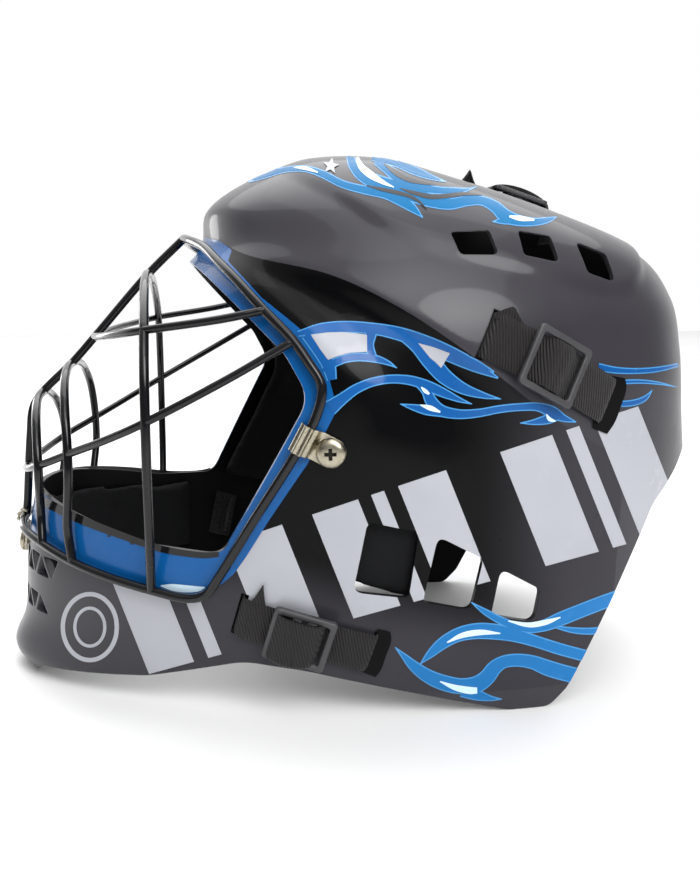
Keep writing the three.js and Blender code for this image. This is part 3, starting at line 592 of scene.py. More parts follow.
def floor_material():
    """Plain pale paper."""
    m, nt, b = nodes_of("floor_pale")
    pale = ramp(nt, noise(nt, place_on(nt), 3.0, 2.0), [(0.3, (0.88, 0.88, 0.88)), (0.7, (0.9, 0.9, 0.9))])
    plug(nt, b, {"Base Color": pale, "Roughness": 0.6})
    return m


GUNMETAL = (0.036, 0.034, 0.041), (0.046, 0.044, 0.052)
SHELL_PAINT = paint("paint_gunmetal", *GUNMETAL, rough=(0.3, 0.38), coat=0.32, haze=0.07)
# The cheek's paint: the same gunmetal, faded to black by the cheek attribute. The black is painted shade.
CHEEK_SHADE_PAINT = paint("paint_cheek_painted_shade", *GUNMETAL, rough=(0.26, 0.34), coat=0.13, gloss=0.04,
                    shade_colour=(0.002, 0.0021, 0.0025))
BORDER_PAINT = paint("paint_border_blue", (0.003, 0.088, 0.3), (0.005, 0.105, 0.35))
RIM_BLACK = paint("rim_black", (0.012, 0.012, 0.014), (0.03, 0.03, 0.034), rough=(0.3, 0.45), coat=0.3)
SHELL_INSIDE = paint("moulded_inside", (0.003, 0.003, 0.0035), (0.006, 0.006, 0.0068), rough=(0.45, 0.6),
                     coat=0.0)
FLAME_DEEP = paint("paint_flame_deep", (0.007, 0.085, 0.3), (0.010, 0.105, 0.35))
FLAME_BRIGHT = paint("paint_flame_bright", (0.008, 0.15, 0.42), (0.012, 0.18, 0.48))
FLAME_CROWN = paint("paint_flame_crown", (0.002, 0.135, 0.33), (0.004, 0.16, 0.38), coat=0.1, gloss=0.03)
RIM_TRIM = paint("rim_trim", (0.006, 0.006, 0.007), (0.009, 0.009, 0.01), rough=(0.16, 0.24), coat=0.5)
# Black for painted shade: dark rounded patches beside the rear slots, where the webbing dives in.
SLOT_SHADE_PAINT = paint("paint_slot_shade", (0.003, 0.003, 0.0035), (0.005, 0.005, 0.0055), rough=(0.3, 0.4), coat=0.08,
                   gloss=0.03)
GAP_BLACK = paint("paint_gap_black", (0.02, 0.019, 0.023), (0.028, 0.026, 0.031), coat=0.2)
FLAME_EDGE = paint("paint_flame_edge", (0.06, 0.27, 0.58), (0.08, 0.31, 0.64))
FLAME_LIGHT = paint("paint_flame_light", (0.6, 0.8, 0.95), (0.7, 0.88, 1.0))
SILVER_PAINT = paint("paint_silver", (0.39, 0.4, 0.44), (0.44, 0.45, 0.49))
WIRE_PAINT = paint("paint_wire_black", (0.004, 0.004, 0.005), (0.007, 0.007, 0.008), coat=0.6, bevel=0)
FOAM = foam_material()
WEBBING = webbing_material()
PLASTIC = plastic_material()
NICKEL = nickel_material()
# Dark, non-metallic colour for the screw's cross recess: painted shade.
RECESS = paint("recess_painted_shade", (0.02, 0.018, 0.014), (0.05, 0.045, 0.035), rough=(0.4, 0.6), coat=0.0)


# ---------------------------------------------------------------- the camera
CAM_AT = Vector((0.5, -0.077, 0.1845))
CAM_YAW = math.radians(8.82)
CAM_PITCH = math.radians(8.754)
FOCAL = 1000.0
FRAME_WIDE, FRAME_HIGH, SENSOR = 700, 880, 36.0
FORWARD = Vector((-math.cos(CAM_PITCH) * math.cos(CAM_YAW), math.cos(CAM_PITCH) * math.sin(CAM_YAW),
                  -math.sin(CAM_PITCH)))
RIGHT = Vector((math.sin(CAM_YAW), math.cos(CAM_YAW), 0))
UP = RIGHT.cross(FORWARD)


def make_camera():
    data = bpy.data.cameras.new("camera")
    data.sensor_fit = "VERTICAL"
    data.sensor_height = SENSOR
    data.lens = FOCAL / FRAME_HIGH * SENSOR
    data.clip_start = 0.02
    ob = bpy.data.objects.new("camera", data)
    m = Matrix((RIGHT, UP, -FORWARD)).transposed().to_4x4()
    m.translation = CAM_AT
    ob.matrix_world = m
    bpy.context.collection.objects.link(ob)
    bpy.context.scene.camera = ob


def pixel_ray(x, y):
    """Direction from the camera through a pixel of the photo."""
    return (FORWARD * FOCAL + RIGHT * (x - FRAME_WIDE / 2) - UP * (y - FRAME_HIGH / 2)).normalized()


make_camera()

# ---------------------------------------------------------------- straps, shared frames
# name, y and z of the front and the rear slot, place of the slider along the strap
SIDE_STRAPS = [("upper", (43, 165.5), (98, 136.5), 29.0), ("lower", (-56, 48), (-1, 31.5), 27.0)]
CROWN_FROM, CROWN_TO, CROWN_SLIDER = 60.0, 110.0, 30.0
SLOT_WIDTH, SLOT_LENGTH = 3.0, 21.4
SIDE_CLIP = ((-30.2, 125.4), (10.0, -5.3))
CHIN_CLIP_Z = 73.0
CLIP_REACH = 12.0
CROWN_START = 9.0


def middle_line(u, key, value):
    """Point on the middle line where its y or z comes to value."""
    def point(t):
        return surface(np.array(t), np.array(u))

    low = CROWN_START if key == 1 and u > 0 else 0.0
    return point(bisect(low, float(LAST), lambda t: point(t)[2] < value if key == 2 else point(t)[1] > value))


def strap_frames():
    """A frame at each strap's first slot, with its length to the other slot and its slider's place."""
    runs = []
    for name, a, b, slider in SIDE_STRAPS:
        pa, na = left_side(*a)
        pb, nb = left_side(*b)
        m = frame_matrix(pa, pb - pa, na + nb)
        length = (m.inverted() @ Vector(world(pb))).x / MM
        runs.append(dict(name=name, m=m, end=length, slider=slider, twin=True))
    pa = middle_line(math.pi / 2, 1, CROWN_FROM)
    pb = middle_line(math.pi / 2, 1, CROWN_TO)
    m = frame_matrix(pa, pb - pa, (0, 0, 1))
    length = (m.inverted() @ Vector(world(pb))).x / MM
    runs.append(dict(name="crown", m=m, end=length, slider=CROWN_SLIDER, twin=False))
    return runs


def clip_frames():
    """Frames under the border wire for the side clip and the chin's, first axis towards the screw."""
    p, n = left_side(*SIDE_CLIP[0])
    q, k = left_side(SIDE_CLIP[0][0] + SIDE_CLIP[1][0], SIDE_CLIP[0][1] + SIDE_CLIP[1][1])
    side = frame_matrix(p, q - p, n + k)
    o = middle_line(-math.pi / 2, 2, CHIN_CLIP_Z)
    e = middle_line(-math.pi / 2, 2, CHIN_CLIP_Z - CLIP_REACH)
    chin = frame_matrix(o, e - o, (0, -1, 0))
    return side, chin


RUNS = strap_frames()
SIDE_FRAME, CHIN_FRAME = clip_frames()


# ---------------------------------------------------------------- the shell
def chin_hole_prisms():
    """Three-sided holes in two rows, every other one upside down."""
    out = []
    for z, height, inner, outer, holes in CHIN_ROWS:
        pitch = (outer - inner) / holes
        for i in range(holes):
            start = inner + i * pitch
            flip = 1 if i % 2 == 0 else -1
            base, tip = z + flip * height / 2, z - flip * height / 2
            half, mid = pitch - CHIN_BAR, start + pitch / 2
            tri = rounded_outline([(mid - half, base, 0.8), (mid + half, base, 0.8), (mid, tip, 0.8)], 4)
            for side in (1, -1):
                pts = [(side * p[0], p[1]) for p in tri]
                out.append(prism("hole", pts, -1, lambda y, p: [p[0], y, p[1]], (-190, -115)))
    return out


def outer_height(matrix, s):
    """Height over the frame's first axis of the outer surface at s millimetres along it."""
    origin = matrix @ Vector((s * MM, 0.1, 0))
    direction = matrix.to_3x3() @ Vector((0, -1, 0))
    hit = OUTER.ray_cast(origin, direction)
    return (matrix.inverted() @ hit[0]).y / MM


AROUND, RINGS = ((400, 180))
SLOT_CUT = 30
FLAT_NORMAL = 2e-3
RIM_BELOW = 0.094
OUTER_OB = form_mesh("shell_moulded", 0.0, AROUND, RINGS)
OUTER_OB.data.calc_loop_triangles()
OUTER_V = np.array([v.co[:] for v in OUTER_OB.data.vertices])
OUTER_N = np.array([v.normal[:] for v in OUTER_OB.data.vertices])
OUTER_T = np.array([t.vertices[:] for t in OUTER_OB.data.loop_triangles])
OUTER = BVHTree.FromPolygons([tuple(v) for v in OUTER_V], [tuple(t) for t in OUTER_T])
GREY, BORDER, RIM, INSIDE, CHEEK = range(5)


def build_shell():
    """The wall between the outer and the inner form, with all its openings cut and its paints set."""
    shell = OUTER_OB
    inner = form_mesh("inner", WALL, 200, 100)
    cutters = [inner, side_prism("face", FACE_OPENING, steps=12), side_prism("lower", LOWER_EDGE, steps=12)]
    cutters.append(joined("vents", [side_prism("vent", c, steps=5) for c in SIDE_VENTS.values()]))
    cutters.append(joined("chin", chin_hole_prisms()))
    slots = []
    for run in RUNS:
        for s in (0.0, run["end"]):
            at = (s, outer_height(run["m"], s), 0)
            slot = box_mesh("slot", (SLOT_WIDTH, SLOT_CUT, SLOT_LENGTH), at, run["m"])
            slots.append(slot)
            if run["twin"]:
                slots.append(mirrored_copy(slot, "slot"))
    cutters.append(joined("slots", slots))
    boolean(shell, cutters)
    me = shell.data
    for mat in (SHELL_PAINT, BORDER_PAINT, RIM_BLACK, SHELL_INSIDE, CHEEK_SHADE_PAINT):
        me.materials.append(mat)
    for f in me.polygons:
        c = f.center
        out = Vector((c.x, (c.y - 0.005) * 0.5, max(0.0, c.z - 0.11)))
        cut = abs(f.normal.x) < FLAT_NORMAL
        if cut and c.y < -0.02 and 0.06 < c.z < 0.21:
            f.material_index = RIM if c.z < RIM_BELOW else BORDER
        elif f.normal.dot(out) < 0 and not cut:
            f.material_index = INSIDE
        f.use_smooth = True
    return shell


def mark_cheek_shade(ob):
    """Share of painted shade in the cheek's paint: full black under the crease, fading out behind and below.
    """
    co = side_plane(np.array([v.co[:] for v in ob.data.vertices]))
    y, z = co[:, 0], co[:, 1]
    share = (1 - smooth(38, 92, y)) * smooth(38, 70, z + 0.25 * y)
    layer = ob.data.attributes.new("cheek", "FLOAT", "POINT")
    layer.data.foreach_set("value", share.astype(np.float32))


def signed_distance(points, polygon):
    """Distance of 2-D points from the polygon's outline, positive inside it."""
    best = np.full(len(points), 1e9)
    inside = np.zeros(len(points), bool)
    poly = np.asarray(polygon, float)
    for a, b in zip(poly, np.roll(poly, -1, axis=0)):
        d = b - a
        s = np.clip(((points - a) @ d) / max(d @ d, 1e-12), 0, 1)
        best = np.minimum(best, np.linalg.norm(points - (a + s[:, None] * d), axis=1))
        crosses = (a[1] > points[:, 1]) != (b[1] > points[:, 1])
        with np.errstate(divide="ignore", invalid="ignore"):
            at = (b[0] - a[0]) * (points[:, 1] - a[1]) / (b[1] - a[1]) + a[0]
        inside ^= crosses & (points[:, 0] < at)
    return np.where(inside, best, -best)


def side_plane(co):
    """Points in metres to y and z of the side view, in millimetres."""
    return np.stack([co[:, 1] / MM + CENTRE, co[:, 2] / MM], 1)


def split_along(ob, polygon, keep=0, paint_index=None, only=None):
    """Cuts the mesh along a side-view outline. keep -1 or 1 deletes the other side."""
    bm = bmesh.new()
    bm.from_mesh(ob.data)
    co = np.array([v.co[:] for v in bm.verts])
    value = signed_distance(side_plane(co), polygon)
    value[np.abs(value) < 0.02] = 0.02
    store = {v: float(d) for v, d in zip(bm.verts, value)}
    for e in list(bm.edges):
        a, b = e.verts
        va, vb = store[a], store[b]
        if va * vb < 0 and (only is None or all(f.material_index == only for f in e.link_faces)):
            _, new = bmesh.utils.edge_split(e, a, va / (va - vb))
            store[new] = 0.0
    for f in list(bm.faces):
        marks = [v for v in f.verts if store[v] == 0.0]
        if len(marks) == 2 and not any(e.other_vert(marks[0]) == marks[1] for e in marks[0].link_edges):
            bmesh.utils.face_split(f, marks[0], marks[1])
    for f in list(bm.faces):
        total = sum(store[v] for v in f.verts)
        if keep and total * keep < 0:
            bm.faces.remove(f)
        elif paint_index is not None and total > 0 and (only is None or f.material_index == only):
            f.material_index = paint_index
    bm.to_mesh(ob.data)
    bm.free()


PAINTED_BORDER = [(-260, 207), (-66, 207), (-60, 204.5), (-55, 200), (-57, 195), (-45, 180), (-31, 168),
                  (-26, 160), (-21, 151), (-18.5, 141), (-18, 136), (-22, 128), (-29, 115), (-36, 104),
                  (-44, 91), (-53, 75), (-58, 67), (-63, 62), (-69, 58), (-76, 55.5), (-91, 56.5),
                  (-110, 60), (-126, 63.5), (-140, 67.5), (-150, 70), (-260, 72)]

CHEEK_SHADE_AREA = [tuple(p) for p in RIDGE_CURVE] + [(110, 110), (110, 10), (-90, 10), (-90, 206)]

SHELL = build_shell()
split_along(SHELL, PAINTED_BORDER, paint_index=BORDER, only=GREY)
# The cheek's faces get the paint with the painted shade.
split_along(SHELL, CHEEK_SHADE_AREA, paint_index=CHEEK, only=GREY)
mark_cheek_shade(SHELL)
SHELL.data.set_sharp_from_angle(angle=math.radians(32))
dress(SHELL, "shell")


# ---------------------------------------------------------------- the cage
BORDER_WIRE = [(0, -76, 207), (24, -73.5, 205.5), (48, -67, 201.5), (68, -61.5, 195), (85, -55, 187.5),
               (101.5, -45, 175.5), (111, -34, 163.5), (-27.5, 154.5), (-23, 146), (-25, 135), (-34, 118),
               (-48, 94), (-63, 67), (-68.5, 58.5), (-75, 56), (-91, 58), (-110, 61.5), (-125, 65),
               (-139, 69), (22, -153.2, 72), (0, -155.7, 73)]
CENTRE_WIRE = [(-76, 207), (-93, 190.5), (-118, 162), (-131, 147.5), (-145, 134), (-149.8, 127),
               (-152, 112), (-154.8, 80), (-155.7, 73)]
ARCHES = [
    [(-91, 58), (94, -92, 82), (99, -92, 108), (99.5, -92, 132), (96, -92, 152), (87, -92, 167),
     (66, -92.5, 180), (35, -93, 188.5), (0, -93, 190.5)],
    [(-125, 65), (-126.5, 80), (64, -127, 100), (62.5, -127, 116), (57, -128, 131), (42, -129.5, 142),
     (20, -130.5, 147), (0, -131, 147.5)],
    [(-139.5, 69), (-140, 84), (49, -141.5, 100), (46, -142, 115), (35, -143.5, 126), (18, -145, 132),
     (0, -145, 134)],
]
WRAPS = [
    [(102.5, -44.5, 175), (100, -62, 171.5), (88, -91.5, 167), (70, -104, 164.5), (38, -115, 162),
     (0, -118.5, 161)],
    [(111, -34.5, 163), (110, -60, 148.5), (99.5, -92, 131), (84, -109, 122), (63, -127, 113),
     (48, -141, 106), (26, -150, 101), (0, -153, 99)],
]
WIRE_R, THIN_R, FRAME_LIFT = 2.0, 1.7, 3.2


def wire_points(rows, both=True):
    """Rows (y, z) lie on the left side and rows (x, y, z) stand free. both adds the mirrored half."""
    pts = []
    for row in rows:
        if len(row) == 2:
            p, n = left_side(*row)
            pts.append(p + n * FRAME_LIFT)
        else:
            pts.append(np.array(row, float))
    if both:
        pts += [p * np.array([-1, 1, 1]) for p in pts[:-1][::-1]]
    return pts


def build_cage():
    """Border wire, middle wire, arches and wrap-round wires, joined in one mesh."""
    verts, faces = [], []

    def add(points, radius):
        v, f = tube([world(p) for p in catmull(points, step=2.5)], radius * MM)
        base = len(verts)
        verts.extend(v)
        faces.extend([[base + i for i in q] for q in f])

    border = wire_points(BORDER_WIRE, both=False)
    ring = border + [p * np.array([-1, 1, 1]) for p in border[1:-1][::-1]]
    loop = ring[-3:] + ring + ring[:3]
    curve = catmull(loop, step=2.5)
    start = int(np.argmin(np.linalg.norm(curve[:40] - ring[0], axis=1)))
    tail = len(curve) - 60 + int(np.argmin(np.linalg.norm(curve[-60:] - ring[0], axis=1)))
    add(curve[start:tail + 1], WIRE_R)
    add([np.array([0, y, z], float) for y, z in CENTRE_WIRE], WIRE_R)
    for rows in ARCHES:
        add(wire_points(rows), WIRE_R)
    for rows in WRAPS:
        add(wire_points(rows), THIN_R)
    ob = mesh_object("cage_wires", verts, faces)
    ob.data.materials.append(WIRE_PAINT)
    shade(ob)
    return ob


CAGE = build_cage()
dress(CAGE, "cage")


# ---------------------------------------------------------------- clips and screws
CLIP_PLATE, CLIP_WIDTH, CLIP_TAIL, PLATE_LIFT = 1.2, 12.0, 6.0, 0.6
CLIP_GROOVES, GROOVE_DEEP = 3, 0.8
HOOK, HOOK_FROM, HOOK_TO = WIRE_R + PLATE_LIFT, 1.12, 0.15
GROOVE_HALF = WIRE_R + 1.6
RECESS_LONG, RECESS_WIDE, RECESS_DEEP, RECESS_TURN = 4.8, 1.5, 3.2, 0.5
METAL_CREASE, WEB_CREASE, PLASTIC_CREASE = 35, 60, 40


def clip_profile():
    """The plate's middle line: round the wire, down to the shell and out past the screw."""
    r = WIRE_R + PLATE_LIFT + CLIP_PLATE / 2
    flat = PLATE_LIFT + CLIP_PLATE / 2
    pts = []
    for share in shares(12):
        a = math.pi * (HOOK_FROM + (HOOK_TO - HOOK_FROM) * share)
        pts.append((r * math.cos(a), FRAME_LIFT + r * math.sin(a)))
    pts += [(r + 1.0, flat + 1.2), (r + 2.2, flat + 0.25), (r + 3.6, flat), (CLIP_REACH - 2.5, flat),
            (CLIP_REACH, flat), (CLIP_REACH + CLIP_TAIL, flat)]
    return pts


def build_clip(name, matrix):
    """A plate bent over the wire. The chin's has a notch for the middle wire."""
    fine = catmull(clip_profile(), step=0.2)
    verts, across = [], 14
    for side in (0.5, -0.5):
        for i, p in enumerate(fine):
            a, b = fine[max(i - 1, 0)], fine[min(i + 1, len(fine) - 1)]
            d = (b - a) / np.linalg.norm(b - a)
            n = np.array([-d[1], d[0]])
            width = CLIP_WIDTH / 2
            if p[0] > CLIP_REACH:
                width = math.sqrt(max(0.0, (CLIP_WIDTH / 2) ** 2 - (p[0] - CLIP_REACH) ** 2)) + 0.05
            press = 0.0
            if side > 0 and abs(p[0]) < GROOVE_HALF:
                wave = math.cos(2 * math.pi * CLIP_GROOVES * (p[0] / GROOVE_HALF + 1) / 2)
                press = GROOVE_DEEP * (0.5 - 0.5 * wave)
            for k in range(across + 1):
                q = p + n * (CLIP_PLATE * side - press)
                verts.append(matrix @ (Vector((q[0], q[1], (k / across * 2 - 1) * width)) * MM))
    ob = mesh_object(name, verts, slab(len(fine), across + 1))
    outward(ob)
    if matrix is CHIN_FRAME:
        boolean(ob, [box_mesh("notch", (10, 20, 2 * HOOK), (HOOK - 5, 0, 0), matrix)])
    ob.data.materials.append(NICKEL)
    shade(ob, METAL_CREASE)
    return ob


def build_screw(name, matrix):
    """A domed head and a short shank, with a cross recess in the head."""
    under = PLATE_LIFT + CLIP_PLATE + 0.3
    foot, top = -2.7, under + 2.62
    profile = [(2.2, foot), (2.2, under), (5.9, under), (6.0, under + 0.5), (5.85, under + 1.0),
               (5.2, under + 1.7), (4.2, under + 2.2), (3.0, under + 2.5), (1.6, under + 2.6)]
    sides, rings = 40, len(profile)
    verts, faces = [], skin(rings, sides)
    for r, h in profile:
        for k in range(sides):
            a = k / sides * 2 * math.pi
            verts.append(matrix @ (Vector((CLIP_REACH + r * math.cos(a), h, r * math.sin(a))) * MM))
    low, high = len(verts), len(verts) + 1
    verts += [matrix @ (Vector((CLIP_REACH, h, 0)) * MM) for h in (foot, top)]
    for k in range(sides):
        n = (k + 1) % sides
        faces += [(low, k, n), (high, (rings - 1) * sides + n, (rings - 1) * sides + k)]
    ob = mesh_object(name, verts, faces)
    outward(ob)
    turn = (matrix @ Matrix.Translation(Vector((CLIP_REACH, under + 2.6, 0)) * MM)
            @ Matrix.Rotation(RECESS_TURN, 4, "Y"))
    for size in ((RECESS_LONG, RECESS_DEEP, RECESS_WIDE), (RECESS_WIDE, RECESS_DEEP, RECESS_LONG)):
        boolean(ob, [box_mesh("slot", size, (0, 0, 0), turn)])
    ob.data.materials.append(NICKEL)
    ob.data.materials.append(RECESS)
    # The cross recess's faces get the dark colour: painted shade.
    back = turn.inverted()
    for f in ob.data.polygons:
        p = back @ f.center / MM
        near, far = sorted((abs(p.x), abs(p.z)))
        if far < RECESS_LONG / 2 + 0.05 and near < RECESS_WIDE / 2 + 0.05 and p.y < -0.12:
            f.material_index = 1
    shade(ob, METAL_CREASE)
    return ob


for kind, title, maker in (("clip", "clip_plate", build_clip), ("screw", "screw_head", build_screw)):
    place(maker(f"{title}_side_left", SIDE_FRAME), f"{kind}_side_left", "fastener_steel", METAL_CREASE, True)
    place(maker(f"{title}_chin", CHIN_FRAME), f"{kind}_chin", "fastener_steel", METAL_CREASE, False)


# ---------------------------------------------------------------- straps and sliders
WEB, WEB_WIDTH, WEB_LIFT, HUMP = 1.6, 20.0, 0.8, 4.4
SQUARE = ((-1, -1), (1, -1), (1, 1), (-1, 1))
SLIDER_LENGTH, SLIDER_BAR, SLIDER_THICK, SLIDER_ROUND, CLEAR = 27.0, 2.8, 2.6, 0.7, 0.35


def seat_of(run):
    """Height of the surface that the slider rests on."""
    return max(outer_height(run["m"], run["slider"] + k * SLIDER_LENGTH) for k in (-0.5, 0, 0.5))


def web_height(run, s, seat):
    """Height of the webbing's middle, raised in a hump under the slider."""
    rest = outer_height(run["m"], s) + WEB_LIFT + WEB / 2
    over = seat + WEB_LIFT + WEB / 2 + HUMP
    k = float(smooth(3, 9.5, abs(s - run["slider"])))
    return over + (rest - over) * k


def woven(ob, uvs):
    """The weave, outward faces and soft shading of a finished piece of webbing."""
    lay_uv(ob, uvs)
    outward(ob)
    ob.data.materials.append(WEBBING)
    shade(ob, WEB_CREASE)
    return ob


def build_strap(run, name):
    """Webbing that leaves one slot, rides over the slider's middle bar and dives into the other."""
    seat = seat_of(run)
    m = run["m"]
    end = run["end"]
    a, b = outer_height(m, 0.0), outer_height(m, end)
    rest = WEB_LIFT + WEB / 2
    path = [(0, a - 12), (0, a - 6), (0, a - 1), (0.6, a + rest - 0.5)]
    for share in shares(24):
        s = 2.6 + (end - 5.2) * share
        path.append((s, web_height(run, s, seat)))
    path += [(end - 0.6, b + rest - 0.5), (end, b - 1), (end, b - 6), (end, b - 12)]
    fine = catmull(path, step=0.7)
    cols = 12
    verts, uvs = [], []
    run_length = np.concatenate([[0], np.cumsum(np.linalg.norm(np.diff(fine, axis=0), axis=1))])
    section_pts = []
    for k in range(cols + 1):
        z = (k / cols * 2 - 1)
        section_pts.append((z * WEB_WIDTH / 2, WEB / 2 * (1 - abs(z) ** 8 * 0.75)))
    for k in range(cols - 1, 0, -1):
        z = (k / cols * 2 - 1)
        section_pts.append((z * WEB_WIDTH / 2, -WEB / 2 * (1 - abs(z) ** 8 * 0.75)))
    count = len(section_pts)
    for i, p in enumerate(fine):
        d = fine[min(i + 1, len(fine) - 1)] - fine[max(i - 1, 0)]
        d /= np.linalg.norm(d)
        n = np.array([-d[1], d[0]])
        for z, h in section_pts:
            q = p + n * h
            verts.append(m @ (Vector((q[0], q[1], z)) * MM))
            uvs.append((run_length[i] * MM, z * MM))
    caps = [range(count)[::-1], range(len(verts) - count, len(verts))]
    return woven(mesh_object(name, verts, skin(len(fine), count) + caps), uvs)


def rounded_bar(matrix, start, end, thick, tall, round_=0.45, steps=3):
    """A bar with rounded long edges between two points in the frame's plane, in mm."""
    a, b = Vector(start), Vector(end)
    d = (b - a).normalized()
    up = Vector((0, 1, 0))
    side = d.cross(up)
    ring = []
    for cx, cy, a0 in ((1, 1, 0), (-1, 1, 90), (-1, -1, 180), (1, -1, 270)):
        for k in range(steps + 1):
            an = math.radians(a0 + 90 * k / steps)
            ring.append((cx * (thick / 2 - round_) + round_ * math.cos(an),
                         cy * (tall / 2 - round_) + round_ * math.sin(an)))
    n = len(ring)
    verts = [matrix @ ((p + side * s + up * h) * MM) for p in (a, b) for s, h in ring]
    return verts, skin(2, n) + [range(n)[::-1], range(n, 2 * n)]


def build_slider(run, name):
    """A rounded frame with a bar across its middle."""
    m = run["m"]
    y = seat_of(run) + WEB_LIFT + WEB + 2 * CLEAR + SLIDER_THICK / 2
    x = run["slider"]
    inner_w = WEB_WIDTH + 2 * CLEAR
    width = inner_w + 2 * SLIDER_BAR
    outer, inner = (
        rounded_outline([(x + i * long / 2, k * wide / 2, r) for i, k in SQUARE], 6)
        for long, wide, r in ((SLIDER_LENGTH, width, 2.2), (SLIDER_LENGTH - 2 * SLIDER_BAR, inner_w, 1.2)))
    prof = []
    t = SLIDER_THICK / 2
    for k in range(5):
        a = math.radians(90 * k / 4)
        prof.append((SLIDER_ROUND * (1 - math.cos(a)), t - SLIDER_ROUND + SLIDER_ROUND * math.sin(a)))
    verts = []

    def loop(pts, grow, h):
        for i, p in enumerate(pts):
            a, b = pts[i - 1], pts[(i + 1) % len(pts)]
            d = Vector((b[0] - a[0], b[1] - a[1])).normalized()
            nrm = Vector((d.y, -d.x))
            q = Vector((p[0], p[1])) + nrm * grow
            verts.append(m @ (Vector((q.x, y + h, q.y)) * MM))

    for inset, h in prof[::-1]:
        loop(outer, -inset, -h)
    for inset, h in prof:
        loop(outer, -inset, h)
    for inset, h in prof[::-1]:
        loop(inner, inset, h)
    for inset, h in prof:
        loop(inner, inset, -h)
    count, total = len(outer), len(verts)
    faces = [[k % total for k in face] for face in skin(total // count + 1, count)]
    bars = rounded_bar(m, (x, y - 0.4, -inner_w / 2 - 0.4), (x, y - 0.4, inner_w / 2 + 0.4), SLIDER_BAR, 1.8)
    base = len(verts)
    verts += bars[0]
    faces += [[base + k for k in f] for f in bars[1]]
    ob = mesh_object(name, verts, faces)
    outward(ob)
    ob.data.materials.append(PLASTIC)
    shade(ob, PLASTIC_CREASE)
    return ob


def soft_sheet(name, matrix, grid, thick):
    """A closed sheet from a grid of points (s, height, across) in the strap's frame, in mm."""
    rows, cols = len(grid), len(grid[0])
    points = np.array(grid, float)
    dr, dc = np.gradient(points, axis=0), np.gradient(points, axis=1)
    n = np.cross(dr, dc)
    n /= np.maximum(np.linalg.norm(n, axis=-1, keepdims=True), 1e-9)
    if n[rows // 2, cols // 2, 1] < 0:
        n = -n
    verts, uvs = [], []
    for side in (0.5, -0.5):
        for i in range(rows):
            for k in range(cols):
                q = points[i, k] + n[i, k] * thick * side
                verts.append(matrix @ (Vector(q) * MM))
                uvs.append((points[i, k, 0] * MM, points[i, k, 2] * MM))
    return woven(mesh_object(name, verts, slab(rows, cols)), uvs)


LOOP_START, LOOP_END, LOOP_OVER, LOOP_HIGH = -12.6, 8.6, 4.8, 2.6
LOOP_NEAR, LOOP_FAR, LOOP_DIP, LOOP_THICK = 10.6, 10.3, 0.6, 1.2
CROWN_LOOP_HALF, CROWN_LOOP_WIDE, CROWN_LOOP_HIGH, CROWN_LOOP_THICK = 15.5, 9.4, 2.4, 1.4
EAR_FOOT, EAR_SPREAD, EAR_THICK = 0.9, 2.5, 0.9
TAB_SHORT, TAB_LONG, TAB_HALF, TAB_GAP, TAB_THICK = 3.4, 9.0, 12.4, 1.6, 1.2


def upward(run):
    """Whether the frame's third axis points up, as 1 or -1."""
    return 1 if (run["m"].to_3x3() @ Vector((0, 0, 1))).z > 0 else -1


def lower_loop(run):
    """The slack loop that bulges out of the slider over its lower side bar."""
    seat = seat_of(run)
    low = seat + WEB_LIFT + WEB + 2 * CLEAR
    top = low + SLIDER_THICK + 0.5
    grid = []
    for a in shares(24):
        s = run["slider"] + LOOP_START + (LOOP_END - LOOP_START) * a
        arch = math.sin(math.pi * a) ** 0.6 if 0 < a < 1 else 0.0
        reach = LOOP_NEAR + LOOP_FAR + LOOP_OVER * math.sin(math.pi * (0.22 + a * 0.62)) ** 0.8
        rise = float(smooth(0, 0.1, a)) * (1 - 0.75 * float(smooth(0.9, 1, a)))
        height = low - LOOP_DIP + (top + LOOP_HIGH * arch - low) * rise
        row = []
        for b in shares(22):
            roll = float(smooth(0.88, 1.0, b)) * (height - seat - WEB) * 0.75
            row.append((s, height - roll, upward(run) * (LOOP_NEAR - b * reach)))
        grid.append(row)
    return soft_sheet("webbing_loop_left", run["m"], grid, LOOP_THICK)


def crown_loop(run):
    """The webbing doubled through the crown's slider."""
    top = seat_of(run) + WEB_LIFT + WEB + SLIDER_THICK + CROWN_LOOP_HIGH
    grid = []
    for a in shares(24):
        s = run["slider"] + CROWN_LOOP_HALF * (2 * a - 1)
        rise = math.sin(math.pi * a) ** 0.45 if 0 < a < 1 else 0.0
        ground = outer_height(run["m"], s) + WEB_LIFT + WEB
        grid.append([(s, ground + (top - ground) * rise, CROWN_LOOP_WIDE * (2 * b - 1)) for b in shares(16)])
    return soft_sheet("webbing_loop_crown", run["m"], grid, CROWN_LOOP_THICK)


def fold_ear(name, run, s, edge, long, tall, peak=0.35, power=1.6):
    """A pointed corner of webbing that stands up where it is folded into the slot."""
    base = outer_height(run["m"], s) + WEB_LIFT + WEB
    foot = EAR_SPREAD * np.sign(edge)
    grid = []
    for a in shares(12):
        rise = max(0.0, 1 - abs(a - peak) / (peak if a < peak else 1 - peak)) ** power
        grid.append([(s + long * a, base - EAR_FOOT + rise * b * tall[0],
                      edge + rise * b * tall[1] - foot * (1 - b)) for b in shares(6)])
    return soft_sheet(name, run["m"], grid, EAR_THICK)


def inner_tab(name, run, s, away):
    """The end of the webbing, folded flat behind the wall where it comes through the slot."""
    grid = []
    for a in shares(6):
        at = s + away * (-TAB_SHORT + (TAB_SHORT + TAB_LONG) * a)
        below = outer_height(run["m"], at) - WALL - TAB_GAP
        grid.append([(at, below, TAB_HALF * (2 * b - 1)) for b in shares(8)])
    return soft_sheet(name, run["m"], grid, TAB_THICK)


